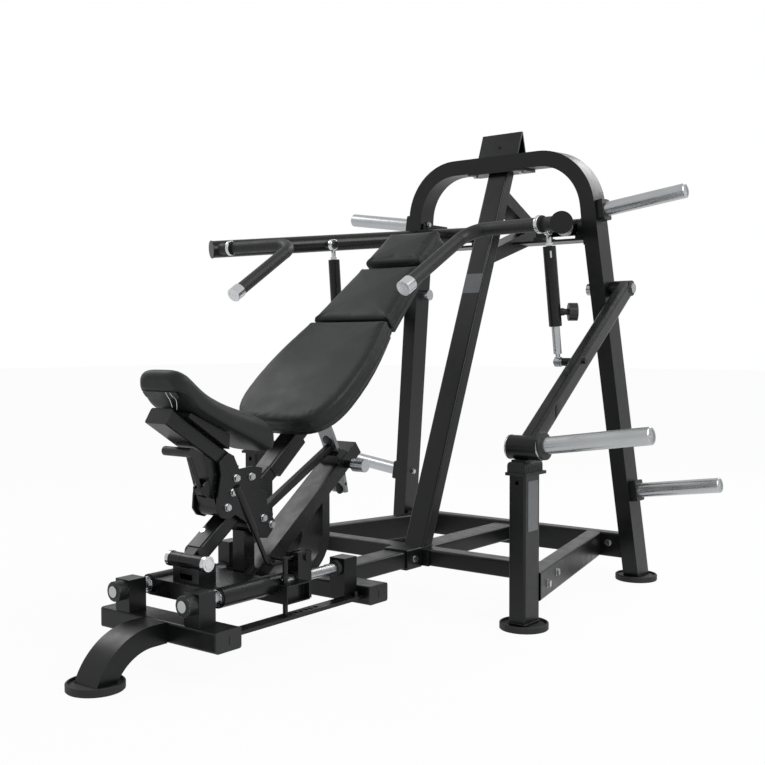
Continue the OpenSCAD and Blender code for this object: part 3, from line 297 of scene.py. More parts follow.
def tinted(tree, factor, dark, light):
    """A colour between two hex colours."""
    node = add_node(tree, "ShaderNodeMix", {"data_type": "RGBA"}, n0=factor)
    node.inputs["A"].default_value, node.inputs["B"].default_value = linear(dark), linear(light)
    return node.outputs["Result"]


def bumped(tree, height, strength, distance_mm, normal=None):
    """A normal bent by a height."""
    node = add_node(tree, "ShaderNodeBump", Strength=strength, Distance=distance_mm * MM, Height=height)
    if normal is not None:
        tree.links.new(normal, node.inputs["Normal"])
    return node.outputs["Normal"]


def powder_coat(name, dark, light, roughness):
    """Satin black powder coat on steel: baked polyester with a fine orange peel, softened over every edge."""
    material, tree, shader, coords = start_material(name)
    # film thickness varies over a hand's breadth, which moves the depth of the black a little
    patches = noise(tree, coords, 90.0, 3.0)
    tree.links.new(tinted(tree, patches, dark, light), shader.inputs["Base Color"])
    rubs = noise(tree, coords, 35.0)
    tree.links.new(between(tree, rubs, roughness - 0.04, roughness + 0.05), shader.inputs["Roughness"])
    # real orange peel is 1 to 2 mm, drawn at 4 mm so that it shows
    edge = add_node(tree, "ShaderNodeBevel", {"samples": 4}, Radius=1.6 * MM).outputs["Normal"]
    tree.links.new(bumped(tree, noise(tree, coords, 4.0, 1.0), 0.035, 0.10, edge), shader.inputs["Normal"])
    shader.inputs["IOR"].default_value = PLASTIC_IOR
    shader.inputs["Specular IOR Level"].default_value = 0.35
    return material


def plated_steel(name, colour, roughness, wave_mm):
    """Chrome or zinc on steel: bright metal with the faint waves of polishing and the rubs of handling."""
    material, tree, shader, coords = start_material(name)
    rubs = noise(tree, coords, 60.0, 1.0, 0.4)
    tree.links.new(tinted(tree, rubs, colour[0], colour[1]), shader.inputs["Base Color"])
    tree.links.new(between(tree, rubs, roughness, roughness + 0.07), shader.inputs["Roughness"])
    # the waves are microns deep, drawn long and soft so that they bend a highlight and don't glitter
    tree.links.new(bumped(tree, noise(tree, coords, wave_mm, 0.0), 0.01, 0.05), shader.inputs["Normal"])
    shader.inputs["Metallic"].default_value = 1.0
    return material


def upholstery_vinyl(name, dark, light):
    """Expanded PVC upholstery vinyl, embossed with a leather grain of pebbles 2 to 3 mm across, soft and satin."""
    material, tree, shader, coords = start_material(name)
    wear = noise(tree, coords, 70.0, 3.0)
    tree.links.new(tinted(tree, wear, dark, light), shader.inputs["Base Color"])
    pebbles = add_node(
        tree,
        "ShaderNodeTexVoronoi",
        {"feature": "DISTANCE_TO_EDGE"},
        Vector=coords,
        Scale=per_metre(2.6),
        Randomness=0.9,
    ).outputs["Distance"]
    creases = add_node(tree, "ShaderNodeMapRange", Value=pebbles)
    creases.inputs["From Max"].default_value = 0.22
    grain = bumped(tree, creases.outputs["Result"], 0.22, 0.3)
    pull = bumped(tree, noise(tree, coords, 60.0, 2.0), 0.15, 2.0, grain)
    tree.links.new(pull, shader.inputs["Normal"])
    tree.links.new(between(tree, wear, 0.42, 0.52), shader.inputs["Roughness"])
    shader.inputs["IOR"].default_value = PLASTIC_IOR
    shader.inputs["Specular IOR Level"].default_value = 0.3
    shader.inputs["Sheen Weight"].default_value = 0.05
    shader.inputs["Sheen Roughness"].default_value = 0.4
    return material


def moulded(name, dark, light, roughness, grain_mm, strength):
    """Moulded rubber or nylon: dull, with the fine spark-eroded grain of its mould."""
    material, tree, shader, coords = start_material(name)
    tree.links.new(tinted(tree, noise(tree, coords, 40.0, 3.0), dark, light), shader.inputs["Base Color"])
    wear = noise(tree, coords, 18.0)
    tree.links.new(between(tree, wear, roughness - 0.05, roughness + 0.06), shader.inputs["Roughness"])
    tree.links.new(bumped(tree, noise(tree, coords, grain_mm, 2.0), strength, 0.3), shader.inputs["Normal"])
    shader.inputs["IOR"].default_value = PLASTIC_IOR
    return material


def pale_share(tree, mirror_level):
    """How much of the white background a ray sees: all of it from the camera, a share in metal and glass."""
    rays = add_node(tree, "ShaderNodeLightPath").outputs

    def combined(operation, first, second):
        return add_node(tree, "ShaderNodeMath", {"operation": operation}, n0=first, n1=second).outputs[0]

    through = combined("MAXIMUM", rays["Is Glossy Ray"], rays["Is Transmission Ray"])
    return combined("MAXIMUM", rays["Is Camera Ray"], combined("MULTIPLY", through, mirror_level))


def stage_floor(name, mirror_level):
    """Matt studio floor: pale to the eye, and still holding the machine's shadow."""
    material, tree, shader, _ = start_material(name)
    shader.inputs["Base Color"].default_value = (0.9, 0.9, 0.9, 1.0)
    shader.inputs["Roughness"].default_value = 0.9
    glow = add_node(tree, "ShaderNodeEmission", Color=WHITE, Strength=1.0)
    pale = pale_share(tree, mirror_level)
    share = add_node(tree, "ShaderNodeMath", {"operation": "MULTIPLY"}, n0=pale, n1=FLOOR_GLOW)
    mix = add_node(tree, "ShaderNodeMixShader", n0=share.outputs[0], n1=shader.outputs["BSDF"], n2=glow.outputs[0])
    output = next(node for node in tree.nodes if node.type == "OUTPUT_MATERIAL")
    tree.links.new(mix.outputs[0], output.inputs["Surface"])
    return material


FINISHES = {}


def make_finishes(looks):
    """All the finishes of the machine, by the record's slot names and a few of their own."""
    FINISHES.update(
        frame_paint=powder_coat("Powder coat, satin black", looks.paint_dark, looks.paint_light, 0.32),
        moving_paint=powder_coat("Powder coat, satin black, moving parts", looks.paint_dark, looks.paint_light, 0.28),
        chrome_bar=plated_steel("Satin chrome plate on steel bar", ("#b3b6b8", "#c3c6c8"), 0.24, 30.0),
        polished=plated_steel("Bright chrome plate, polished", ("#cfd1d3", "#dcdddf"), 0.12, 30.0),
        zinc_strap=plated_steel("Zinc plate on laser-cut steel", ("#7d8082", "#97999b"), 0.34, 20.0),
        black_plastic=moulded("Nylon, moulded black", "#141516", "#1b1c1d", 0.42, 1.5, 0.15),
        foot_rubber=moulded("Rubber, moulded black", "#111213", "#1a1b1b", 0.6, 2.5, 0.3),
        grip_rubber=moulded("Grip rubber, smooth black", "#151617", "#1d1e1f", 0.48, 2.0, 0.2),
        pad_vinyl=upholstery_vinyl("Upholstery vinyl, black", looks.vinyl_dark, looks.vinyl_light),
        blank=moulded("Blank polyester label, neutral grey", "#5c5f61", "#65686a", 0.45, 6.0, 0.05),
    )


# ---------------------------------------------------------------- settings


class MachineLooks(bpy.types.PropertyGroup):
    """Colours of the machine."""

    paint_dark: bpy.props.StringProperty(
        name="Paint, dark", description="Darker tone of the powder coat", default="#0d0e0e"
    )
    paint_light: bpy.props.StringProperty(
        name="Paint, light", description="Lighter tone of the powder coat", default="#121314"
    )
    vinyl_dark: bpy.props.StringProperty(
        name="Vinyl, dark", description="Darker tone of the pads", default="#1a1c1c"
    )
    vinyl_light: bpy.props.StringProperty(
        name="Vinyl, light", description="Lighter tone of the pads", default="#222424"
    )


class PadSizes(bpy.types.PropertyGroup):
    """Shape of the upholstered pads."""

    crown: bpy.props.FloatProperty(
        name="Crown", description="Rise of a pad's face in its middle", default=0.005, min=0.0, unit="LENGTH"
    )
    edge: bpy.props.FloatProperty(
        name="Edge", description="Rounding of a pad's front edge", default=0.013, min=0.002, unit="LENGTH"
    )
    pressure: bpy.props.FloatProperty(
        name="Stuffing", description="Pressure of the foam on its cover", default=4.0, min=0.0
    )
    swell: bpy.props.FloatProperty(
        name="Swell", description="Most that the cover may move out", default=0.0022, min=0.0, unit="LENGTH"
    )
    voxel: bpy.props.FloatProperty(
        name="Mesh step", description="Size of a cover's mesh squares", default=0.005, min=0.002, unit="LENGTH"
    )


class StageLooks(bpy.types.PropertyGroup):
    """Light on the stage."""

    key_power: bpy.props.FloatProperty(
        name="Key", description="Power of the main softbox", default=85.0, min=0.0, subtype="POWER"
    )
    fill_power: bpy.props.FloatProperty(
        name="Fill", description="Power of the side softboxes", default=45.0, min=0.0, subtype="POWER"
    )
    mirror_level: bpy.props.FloatProperty(
        name="Background in metal",
        description="Share of the white background that metal shows",
        default=0.5,
        min=0.0,
        max=1.0,
    )
    world_level: bpy.props.FloatProperty(name="World", description="Light from all round", default=0.42, min=0.0)


# ---------------------------------------------------------------- upholstery


def stuff(piece, sizes, pressure, held):
    """Lets a closed cover swell like cloth over foam. held marks the points that stay on their board."""
    remesh = piece.modifiers.new("Even squares", "REMESH")
    remesh.mode, remesh.voxel_size = "VOXEL", sizes.voxel
    even = bpy.data.meshes.new_from_object(piece.evaluated_get(bpy.context.evaluated_depsgraph_get()))
    piece.modifiers.clear()
    material = piece.data.materials[0]
    piece.data = even
    even.materials.clear()
    even.materials.append(material)
    count = len(even.vertices)
    rest = np.empty(count * 3)
    even.vertices.foreach_get("co", rest)
    rest = rest.reshape(-1, 3)
    pins = piece.vertex_groups.new(name="board")
    pins.add(np.nonzero(held(rest))[0].tolist(), 1.0, "REPLACE")
    cloth = piece.modifiers.new("Cover", "CLOTH")
    settings = cloth.settings
    settings.quality, settings.mass = 5, 0.4
    settings.tension_stiffness = settings.compression_stiffness = 14.0
    settings.bending_stiffness = 1.2
    settings.use_pressure, settings.uniform_pressure_force = True, pressure
    settings.vertex_group_mass = "board"
    settings.effector_weights.gravity = 0.0
    cloth.collision_settings.use_collision = False
    scene = bpy.context.scene
    for number in range(1, CLOTH_FRAMES + 1):
        scene.frame_set(number)
    swollen = piece.evaluated_get(bpy.context.evaluated_depsgraph_get()).data
    moved = np.empty(count * 3)
    swollen.vertices.foreach_get("co", moved)
    piece.modifiers.clear()
    scene.frame_set(1)
    change = moved.reshape(-1, 3) - rest
    length = np.linalg.norm(change, axis=1)[:, None]
    rest = rest + change * np.minimum(1.0, sizes.swell / np.maximum(length, 1e-9))
    even.vertices.foreach_set("co", rest.ravel())
    piece.vertex_groups.clear()
    even.shade_smooth()
    finer = piece.modifiers.new("Finer", "SUBSURF")
    finer.levels = finer.render_levels = 1


def cushion(outline, low, high, sizes, place):
    """A padded block on a closed outline: a crowned face, a quarter-round edge, pulled-in sides and a flat base.

    A ring at inset d lies on the outline moved in by d along its normals, and the face's rings shrink to its middle.
    """
    tangent = np.roll(outline, -1, 0) - np.roll(outline, 1, 0)
    inward = np.stack([-tangent[:, 1], tangent[:, 0]], 1) / np.linalg.norm(tangent, axis=1)[:, None]
    middle = outline.mean(0)
    if np.mean(np.sum(inward * (middle - outline), axis=1)) < 0:
        inward = -inward
    edge = sizes.edge
    turn = np.linspace(0.0, math.pi / 2, 7)
    rings = [(middle[None] * np.ones((len(outline), 1)), low)]
    rings += [(middle + (outline + inward * 0.006 - middle) * k, low) for k in (0.5, 0.9, 1.0)]
    for k in np.linspace(0.0, 1.0, 7):
        pulled_in = 0.002 + 0.003 * math.sin(math.pi * k) ** 2
        rings.append((outline + inward * pulled_in, low + 0.004 + (high - edge - low - 0.004) * k))
    for a in turn:
        rings.append((outline + inward * (0.002 + edge * (1 - math.cos(a))), high - edge + edge * math.sin(a)))
    face = outline + inward * (0.002 + edge)
    for k in np.linspace(0.92, 0.0, 12):
        rings.append((middle + (face - middle) * k, high + sizes.crown * (1 - k * k)))
    points = np.vstack([place(np.column_stack([ring, np.full(len(ring), height)])) for ring, height in rings])
    return points, quads(len(rings), len(outline), around=True)


class Back:
    """The plane of the back pads, read off the face of the upper pad."""

    corners = node_points("upper_back_pad")
    top = corners[corners[:, 2] > corners[:, 2].max() - 0.001].mean(0)
    front = corners[corners[:, 1] < corners[:, 1].min() + 0.001].mean(0)
    up = unit((top - front) * [0, 1, 1])
    out = np.array([0.0, -up[2], up[1]])
    origin = front * [0, 1, 1]

    @classmethod
    def local(cls, points):
        """Points as sideways, up the back and out of it."""
        offset = points - cls.origin
        return np.stack([points[:, 0], offset @ cls.up, offset @ cls.out], 1)

    @classmethod
    def world(cls, points):
        """Back again to x, y, z."""
        return cls.origin + points[:, :1] * [1.0, 0.0, 0.0] + points[:, 1:2] * cls.up + points[:, 2:] * cls.out


def pad_outline(node, count, corner):
    """A flat pad's outline and the heights of its base and face, from its node, with its corners rounded."""
    local = Back.local(node_points(node))
    low, high = local[:, 2].min(), local[:, 2].max()
    flat = np.unique(np.round(local[local[:, 2] < low + 0.001][:, :2], 5), axis=0)
    middle = flat.mean(0)
    order = np.argsort(np.arctan2(*(flat - middle).T[::-1]))
    return rounded(spread(flat[order], count, closed=True), corner), low, high


def seat_surface():
    """A saddle lofted from nose to tail: section n is a rounded lozenge between a base line and a top line.

    x = w(s) sgn(cos a) |cos a|^0.45, and v = sgn(sin a) |sin a|^0.5 runs from base to top. The half width is
    w(s) = w0 (1 - |2s - 1|^7)^(1/7), and the face falls by crown (x / w)^4 to its sides.
    """
    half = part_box("seat_pad")[1][0] - 0.003
    # (y, z) in mm, from under the nose to the tail, over the face and along the base
    top = [(-803, 730), (-806, 746), (-800, 759), (-786, 765), (-768, 757), (-748, 742), (-718, 719), (-687, 700),
           (-655, 685), (-623, 672), (-590, 661), (-558, 651), (-522, 640), (-489, 626), (-462, 609), (-448, 594),
           (-443, 578)]
    base = [(-803, 730), (-799, 716), (-791, 708), (-778, 700), (-764, 688), (-744, 664), (-716, 646), (-680, 629),
            (-640, 610), (-600, 592), (-560, 573), (-530, 559), (-500, 545), (-480, 537), (-464, 536), (-450, 552),
            (-443, 578)]
    top, base = (smooth_line(np.array(line) * MM, SEAT_ROWS) for line in (top, base))
    s = np.linspace(0.0, 1.0, SEAT_ROWS)
    width = half * (1 - np.abs(2 * s - 1) ** 7) ** (1 / 7) * (0.97 + 0.03 * np.sin(math.pi * s))
    width = np.maximum(width, 0.70 * half)
    angle = np.linspace(0.0, 2 * math.pi, SEAT_SPOKES, endpoint=False)
    c, n = np.cos(angle), np.sin(angle)
    x = np.sign(c) * np.abs(c) ** 0.45
    v = np.sign(n) * np.abs(n) ** 0.5
    centre, reach = 0.5 * (top + base), 0.5 * (top - base)
    crown = 0.016 * x**4 * 0.5 * (v + 1)
    y = centre[:, :1] + v * reach[:, :1]
    z = centre[:, 1:] + v * reach[:, 1:] - crown[None, :] * np.sin(math.pi * s)[:, None] ** 0.5
    # the plan is drawn in at its four corners
    corner = 1 - 0.30 * np.clip((np.abs(y + 0.624) - 0.135) / 0.047, 0, 1) ** 2.5
    return np.stack([width[:, None] * x[None, :] * corner, y, z], -1)


def seam_cord(name, pad, ring, radius, body):
    """A sewn seam: a thin cord laid on the nearest points of the finished cover."""
    deps = bpy.context.evaluated_depsgraph_get()
    cover = BVHTree.FromObject(pad, deps)
    path = np.array([cover.find_nearest(Vector(p))[0] for p in ring])
    return make_piece(name, [tube_along(path, radius, 8, closed=True)], FINISHES["pad_vinyl"], body)


class PRESS_OT_back_pads(bpy.types.Operator):
    """Upholsters the headrest and the two back pads"""

    bl_idname = "press.back_pads"
    bl_label = "Back pads"

    def execute(self, context):
        sizes = context.scene.press_pads
        for node, corner in (("headrest_pad", 0.012), ("upper_back_pad", 0.007), ("lower_back_pad", 0.009)):
            outline, low, high = pad_outline(node, 260, corner)
            shape = cushion(outline, low, high - sizes.crown, sizes, Back.world)
            pad = make_piece(node + "_cover", [shape], FINISHES["pad_vinyl"], "bench")
            stuff(pad, sizes, sizes.pressure, lambda p, low=low: Back.local(p)[:, 2] < low + 0.012)
            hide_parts(node)
            middle = outline.mean(0)
            ring = np.column_stack([middle + (outline - middle) * 1.01, np.full(len(outline), low + 0.010)])
            seam_cord(node + "_seam", pad, Back.world(ring), 0.0012, "bench")
        return {"FINISHED"}


class PRESS_OT_seat_pad(bpy.types.Operator):
    """Upholsters the saddle seat"""

    bl_idname = "press.seat_pad"
    bl_label = "Seat pad"

    def execute(self, context):
        sizes = context.scene.press_pads
        grid = seat_surface()
        shape = (grid.reshape(-1, 3), quads(SEAT_ROWS, SEAT_SPOKES, around=True))
        pad = make_piece("seat_cover", [shape], FINISHES["pad_vinyl"], "seat")
        base = grid[:, 3 * SEAT_SPOKES // 4, :]
        order = np.argsort(base[:, 1])
        base = base[order]
        stuff(pad, sizes, 0.75 * sizes.pressure, lambda p: p[:, 2] < np.interp(p[:, 1], base[:, 1], base[:, 2]) + 0.012)
        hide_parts("seat_pad")
        ring = np.vstack([grid[6:-6, 66], grid[6:-6, 42][::-1]])
        seam_cord("seat_seam", pad, spread(ring, 260, closed=True), 0.0012, "seat")
        return {"FINISHED"}


# ---------------------------------------------------------------- steel, chrome and plastic


class PRESS_OT_finish_frame(bpy.types.Operator):
    """Gives every steel, chrome and rubber node its finish"""

    bl_idname = "press.finish_frame"
    bl_label = "Finish the frame"

    def execute(self, context):
        make_finishes(context.scene.press_looks)
        for name, node in frame["nodes"].items():
            node.data.materials.clear()
            node.data.materials.append(FINISHES[SLOT_OF[name]])
        return {"FINISHED"}


def mirrored(point, side):
    """A point of the right side, carried to the side whose sign is given."""
    return np.asarray(point, float) * [side, 1.0, 1.0]


class PRESS_OT_handle_trim(bpy.types.Operator):
    """Fits the polished collars and end caps of the handles"""

    bl_idname = "press.handle_trim"
    bl_label = "Handle trim"

    def execute(self, context):
        for name, side in SIDES:
            corners = (0.613, 0.059, 1.163), (0.350, 0.104, 1.166), (0.333, -0.202, 0.984)
            root, bend, tip = (mirrored(corner, side) for corner in corners)
            inward, forward = unit(bend - root), unit(tip - bend)
            tip = tip + forward * ((node_points(f"handle_{name}") @ forward).max() - tip @ forward)
            collar = turned(ring_profile(0.0201, 0.0257, -0.0065, 0.0050), root, inward)
            make_piece(f"handle_collar_{name}", [collar], FINISHES["polished"], f"arm_{name}")
            # the face is turned with two shallow rings round its centre
            face = [(0.0, 0.0010), (0.0035, 0.0010), (0.0040, 0.0018), (0.0085, 0.0018), (0.0092, 0.0010),
                    (0.0135, 0.0010), (0.0142, 0.0018), (0.0217, 0.0018), (0.0228, 0.0007), (0.0228, -0.0330),
                    (0.0218, -0.0342), (0.0201, -0.0342), (0.0201, -0.0010), (0.0, -0.0010)]
            cap = turned(face, tip, forward)
            make_piece(f"handle_cap_{name}", [cap], FINISHES["polished"], f"arm_{name}")
        return {"FINISHED"}


class PRESS_OT_links(bpy.types.Operator):
    """Builds the adjustable links: a painted sleeve with the knob's boss, and a chrome rod end above it"""

    bl_idname = "press.links"
    bl_label = "Links"

    def execute(self, context):
        for name, side in SIDES:
            top, low = mirrored((0.443, 0.408, 1.190), side), mirrored((0.455, 0.458, 0.771), side)
            reach = np.linalg.norm(top - low)
            up = unit(top - low)
            upper = reach - 0.054
            wall = [(0.0132, 0.114), (0.0192, 0.114), (0.0205, 0.1155), (0.0205, upper - 0.0015), (0.0192, upper),
                    (0.0085, upper), (0.0085, upper - 0.006), (0.0132, upper - 0.006), (0.0132, 0.114)]
            knob = unit(mirrored((0.788, 0.616, 0.0), side))
            at = low + 0.160 * up
            boss = turned(ring_profile(0.0052, 0.0120, 0.0170, 0.0305), at, knob, 32)
            parts = [turned(wall, low, up), boss]
            sleeve = make_piece(f"link_sleeve_{name}", parts, FINISHES["moving_paint"], f"link_{name}")
            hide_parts(f"link_tube_{name}")
            neck = turned(disc_profile(0.0080, upper - 0.008, reach - 0.015), low, up, 32)
            nut = turned(disc_profile(0.0125, upper + 0.0006, upper + 0.0090, 0.0006), low, up, 6)
            across_pin = mirrored((1.0, 0.0, 0.0), side)
            eye = turned(ring_profile(0.0122, 0.0200, -0.0085, 0.0085, 0.002), top, across_pin)
            ball = turned(ring_profile(0.0077, 0.0118, -0.0092, 0.0092, 0.003), top, across_pin, 32)
            make_piece(f"link_eye_{name}", [neck, nut, eye, ball], FINISHES["polished"], f"link_{name}")
            # a slot near the top shows how far the rod is in
            sight = unit(np.cross(up, knob)) * -side
            middle = low + (upper - 0.026) * up + 0.0203 * sight
            window = plate(middle, np.cross(up, sight), up, 0.0055, 0.022, 0.0006, 0.0025)
            make_piece(f"link_window_{name}", [window], FINISHES["polished"], f"link_{name}")
        return {"FINISHED"}


class PRESS_OT_horn_trim(bpy.types.Operator):
    """Plugs the ends of the weight and storage horns and fits the collars, washers and tubes of the levers"""

    bl_idname = "press.horn_trim"
    bl_label = "Horn trim"

    def execute(self, context):
        jobs = []
        for name, side in SIDES:
            way = np.array([side * math.cos(HORN_RISE), 0.0, math.sin(HORN_RISE)])
            stored = node_points("storage_horns")
            stored = stored[stored[:, 0] * side > 0]
            jobs += [(f"store_plug_high_{name}", stored[stored[:, 2] > 0.8], way, "frame"),
                     (f"store_plug_low_{name}", stored[stored[:, 2] < 0.8], way, "frame"),
                     (f"horn_plug_{name}", node_points(f"weight_horn_{name}"), way, f"lever_{name}")]
        for name, points, way, body in jobs:
            along = points @ way
            rim = np.unique(points[along > along.max() - 0.001].round(5), axis=0)
            tip = 0.5 * (rim.min(0) + rim.max(0))
            face = [(0.0, -0.0050), (0.0045, -0.0050), (0.0055, -0.0028), (0.0150, -0.0022), (0.0196, -0.0022),
                    (0.0208, -0.0034), (0.0208, -0.0120), (0.0, -0.0120)]
            make_piece(name, [turned(face, tip, way, 48)], FINISHES["chrome_bar"], body)
        for name, side in SIDES:
            lever = node_points(f"lever_{name}")
            end = lever[lever[:, 2] < 0.56]
            inner = np.abs(end[:, 0]).min()
            centre = mirrored((inner, SLEEVE_Y, SLEEVE_Z), side)
            inboard = (-side, 0.0, 0.0)
            way = np.array([side * math.cos(HORN_RISE), 0.0, math.sin(HORN_RISE)])
            root = mirrored((0.595, SLEEVE_Y, 0.5366), side)
            collar = turned(ring_profile(0.0252, 0.0410, 0.0060, 0.0152, 0.0020), root, way)
            make_piece(f"horn_collar_{name}", [collar], FINISHES["black_plastic"], f"lever_{name}")
            washer = turned(ring_profile(0.0120, 0.0362, -0.0005, 0.0035), centre, inboard)
            plug = turned(disc_profile(0.0122, -0.0005, 0.0075, 0.002), centre, inboard, 6)
            make_piece(f"sleeve_washer_{name}", [washer, plug], FINISHES["polished"], f"lever_{name}")
            # the node's hollow breaks through its walls near both ends; this tube, 0.15 mm inside its face, closes them
            top, low = mirrored((0.485193, 0.880, 1.020), side), mirrored((0.548, SLEEVE_Y, SLEEVE_Z), side)
            down, out = unit(low - top), mirrored(unit((0.99677, 0.0803, 0.0)), side)
            length = np.linalg.norm(low - top) - 0.040
            tube = plate(top + 0.020 * down, np.cross(out, down), out, 0.0597, 0.0437, length, 0.01385)
            make_piece(f"lever_tube_{name}", [tube], FINISHES["moving_paint"], f"lever_{name}")
        return {"FINISHED"}


class PRESS_OT_rail_trim(bpy.types.Operator):
    """Fits the nuts, bumpers and bearing lips of the guide shafts and the end caps of the bench barrel"""

    bl_idname = "press.rail_trim"
    bl_label = "Rail trim"

    def execute(self, context):
        back = np.array([0.0, 1.0, 0.0])
        for name, side in SIDES:
            def on_shaft(y):
                return np.array([side * SHAFT_X, y, SHAFT_Z])

            nut = turned(ring_profile(0.0151, 0.0268, 0.0, 0.0290, 0.0025), on_shaft(-0.8400), back, 48, 12, 0.0006)
            make_piece(f"shaft_nut_{name}", [nut], FINISHES["black_plastic"], "frame")
            stops = [turned(ring_profile(0.0151, 0.0205, 0.0, 0.0060, 0.0015), on_shaft(-0.7550), back, 48),
                     turned(ring_profile(0.0151, 0.0225, 0.0, 0.0160, 0.0040), on_shaft(-0.2710), back, 48)]
            make_piece(f"shaft_bumpers_{name}", stops, FINISHES["foot_rubber"], "frame")
            lip = turned(ring_profile(0.0153, 0.0215, 0.0, 0.0030), on_shaft(-0.7300), back, 48)
            make_piece(f"bearing_lip_{name}", [lip], FINISHES["polished"], "carriage")
            face = [(0.0, 0.0012), (0.0115, 0.0012), (0.0122, 0.0004), (0.0150, 0.0004), (0.0157, 0.0016),
                    (0.0198, 0.0016), (0.0207, 0.0006), (0.0207, -0.0110), (0.0192, -0.0110), (0.0192, -0.0005),
                    (0.0, -0.0005)]
            cap = turned(face, (side * 0.073, BARREL_Y, BARREL_Z), (side, 0.0, 0.0))
            make_piece(f"barrel_cap_{name}", [cap], FINISHES["polished"], "carriage")
        return {"FINISHED"}


class PRESS_OT_small_parts(bpy.types.Operator):
    """Fits the strap's rubber plugs, a dark slip of painted shade and the wires under the seat's nose, a ringed screw
    and blank labels
    """

    bl_idname = "press.small_parts"
    bl_label = "Small parts"

    def execute(self, context):
        pivot = np.array([0.0, BARREL_Y, BARREL_Z])
        for name, degrees in (("low", 11.76), ("middle", 19.06), ("high", 26.36)):
            a = math.radians(degrees)
            radial = np.array([0.0, math.cos(a), math.sin(a)])
            tangent = np.array([0.0, -math.sin(a), math.cos(a)])
            plug = plate(pivot + 0.6335 * radial, (1.0, 0.0, 0.0), tangent, 0.0236, 0.0376, 0.0130, 0.0115)
            make_piece(f"strap_plug_{name}", [plug], FINISHES["foot_rubber"], "bench", 0.001)
        # a dark slip just proud of the cover under the seat's nose, painted shade standing in for the shaded recess
        # there, with two wires before it
        board = plate((0.0, -0.7885, 0.7015), (1.0, 0.0, 0.0), unit((0.0, -0.62, 0.785)), 0.128, 0.021, 0.0012, 0.006)
        make_piece("nose_shade_slip", [board], FINISHES["black_plastic"], "seat")
        wires = [tube_along(smooth_line(line, 24), 0.0009, 8) for line in (
            ((0.026, -0.7955, 0.7085), (0.027, -0.7900, 0.6985), (0.028, -0.7830, 0.6880), (0.030, -0.7770, 0.6700)),
            ((0.040, -0.7945, 0.7085), (0.043, -0.7880, 0.6985), (0.047, -0.7790, 0.6880), (0.040, -0.7710, 0.6640)))]
        make_piece("nose_wires", wires, FINISHES["polished"], "seat")
        normal = unit((0.0, -0.59, 0.81))
        head = [(0.0, 0.0002), (0.0030, 0.0002), (0.0032, 0.0014), (0.0078, 0.0014), (0.0088, 0.0004),
                (0.0088, -0.0010), (0.0, -0.0010)]
        screw = turned(head, (-0.0135, -0.6363, 0.3326), normal, 40)
        make_piece("box_screw", [screw], FINISHES["polished"], "bench")
        post = plate((0.5621, 0.114, 0.361), (0.0, 1.0, 0.0), (0.0, 0.0, 1.0), 0.056, 0.146, 0.0005)
        make_piece("post_label_blank", [post], FINISHES["blank"], "frame")
        face = plate((0.0, 0.6801, 1.0983), (1.0, 0.0, 0.0), (0.0, 0.3758, 0.9267), 0.070, 0.190, 0.0007)
        make_piece("column_label_blank", [face], FINISHES["blank"], "frame")
        return {"FINISHED"}


class PRESS_OT_welds(bpy.types.Operator):
    """Lays weld beads round the feet of the column and the front posts"""

    bl_idname = "press.welds"
    bl_label = "Welds"

    def execute(self, context):
        def bead(loop, ripple=0.0034, size=0.0026):
            # radius = size (1 + 0.13 sin(2 pi s / ripple)), the overlapped pools of a hand-laid weld
            length = np.linalg.norm(loop - np.roll(loop, 1, axis=0), axis=1).sum()
            path = rounded(spread(loop, int(length / ripple) * 4, closed=True), 0.004)
            radius = size * (1 + 0.13 * np.sin(0.5 * math.pi * np.arange(len(path))))
            return tube_along(path, radius, 8, closed=True)

        foot = np.array(
            [(-0.040, 0.2965, 0.152), (0.040, 0.2965, 0.152), (0.040, 0.3515, 0.152), (-0.040, 0.3515, 0.152)]
        )
        make_piece("column_weld", [bead(foot)], FINISHES["frame_paint"], "frame")
        for name, side in SIDES:
            pad = np.array([(0.5075, 0.0695), (0.5615, 0.0695), (0.5615, 0.1545), (0.5075, 0.1545)])
            loop = np.column_stack([side * pad[:, 0], pad[:, 1], np.full(4, 0.0205)])
            make_piece(f"post_weld_{name}", [bead(loop)], FINISHES["frame_paint"], "frame")
        return {"FINISHED"}


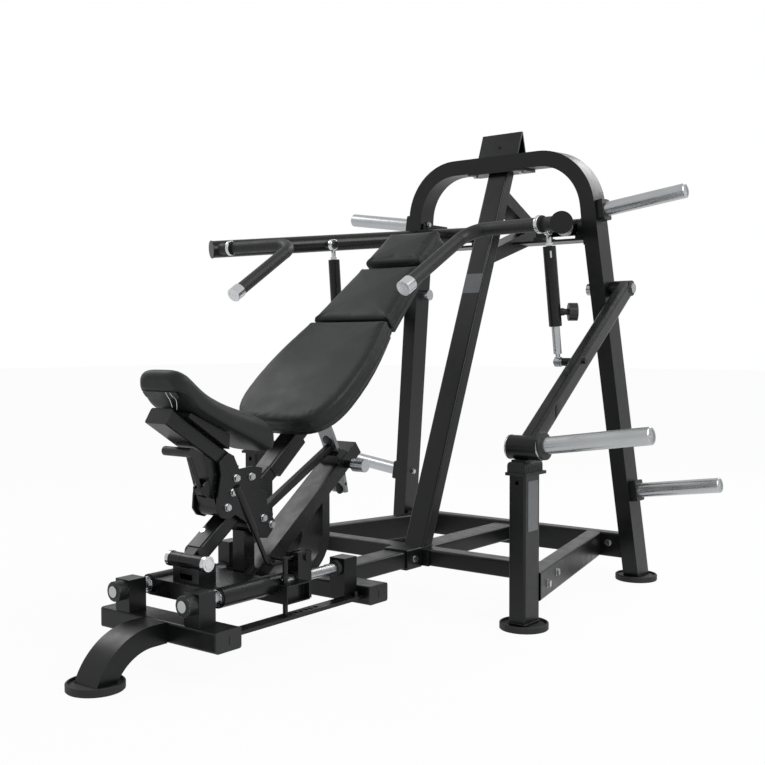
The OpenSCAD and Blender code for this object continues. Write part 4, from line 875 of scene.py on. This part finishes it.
class PRESS_OT_stage(bpy.types.Operator):
    """Builds the floor, the lights, the world and the camera"""

    bl_idname = "press.stage"
    bl_label = "Stage"

    def execute(self, context):
        looks = context.scene.press_stage
        scene = context.scene
        mesh = bpy.data.meshes.new("floor")
        mesh.from_pydata([(-30, -30, 0), (30, -30, 0), (30, 30, 0), (-30, 30, 0)], [], [(0, 1, 2, 3)])
        mesh.materials.append(stage_floor("Matt studio floor", looks.mirror_level))
        floor = bpy.data.objects.new("floor", mesh)
        scene.collection.objects.link(floor)

        world = bpy.data.worlds.new("Studio")
        scene.world = world
        world.use_nodes = True
        tree = world.node_tree
        tree.nodes.clear()
        soft = add_node(tree, "ShaderNodeBackground", Color=WHITE, Strength=looks.world_level)
        white = add_node(tree, "ShaderNodeBackground", Color=WHITE, Strength=1.0)
        pale = pale_share(tree, looks.mirror_level)
        mix = add_node(tree, "ShaderNodeMixShader", n0=pale, n1=soft.outputs[0], n2=white.outputs[0])
        add_node(tree, "ShaderNodeOutputWorld", Surface=mix.outputs[0])

        softbox = (
            ("key", (3.6, -0.2, 3.0), looks.key_power, 2.4),
            ("left", (-3.0, -0.4, 3.2), 0.6 * looks.fill_power, 1.6),
            ("rear", (0.6, 3.2, 3.0), looks.fill_power, 2.0),
        )
        for name, place, power, width in softbox:
            light = bpy.data.lights.new(name, "AREA")
            light.energy, light.size = power, width
            lamp = bpy.data.objects.new(name, light)
            lamp.location = place
            lamp.rotation_euler = (Vector((0.0, 0.0, 0.7)) - Vector(place)).to_track_quat("-Z", "Y").to_euler()
            scene.collection.objects.link(lamp)

        camera = bpy.data.cameras.new("camera")
        camera.lens, camera.sensor_width = 51.02, 36.0
        holder = bpy.data.objects.new("camera", camera)
        holder.location = (2.1296, -2.6167, 0.8318)
        holder.rotation_euler = (math.radians(90 - 2.085), math.radians(0.08), math.radians(37.787))
        scene.collection.objects.link(holder)
        scene.camera = holder
        scene.view_settings.view_transform = "Standard"
        return {"FINISHED"}


class PRESS_PT_panel(bpy.types.Panel):
    """Sidebar panel that lists the steps"""

    bl_idname = "PRESS_PT_panel"
    bl_label = "Press machine"
    bl_space_type = "VIEW_3D"
    bl_region_type = "UI"
    bl_category = "Press machine"

    def draw(self, context):
        for group in (context.scene.press_looks, context.scene.press_pads, context.scene.press_stage):
            box = self.layout.box()
            for name in type(group).__annotations__:
                box.prop(group, name)
        for step in STEPS:
            self.layout.operator(step.bl_idname)


STEPS = (
    PRESS_OT_finish_frame,
    PRESS_OT_back_pads,
    PRESS_OT_seat_pad,
    PRESS_OT_handle_trim,
    PRESS_OT_links,
    PRESS_OT_horn_trim,
    PRESS_OT_rail_trim,
    PRESS_OT_small_parts,
    PRESS_OT_welds,
    PRESS_OT_stage,
)
GROUPS = (("press_looks", MachineLooks), ("press_pads", PadSizes), ("press_stage", StageLooks))
CLASSES = tuple(group for _, group in GROUPS) + STEPS + (PRESS_PT_panel,)


def register():
    for cls in CLASSES:
        bpy.utils.register_class(cls)
    for name, group in GROUPS:
        setattr(bpy.types.Scene, name, bpy.props.PointerProperty(type=group))


def unregister():
    for name, _ in GROUPS:
        delattr(bpy.types.Scene, name)
    for cls in reversed(CLASSES):
        bpy.utils.unregister_class(cls)


def main():
    register()
    for step in STEPS:
        family, name = step.bl_idname.split(".")
        getattr(getattr(bpy.ops, family), name)()


if __name__ == "__main__":
    main()
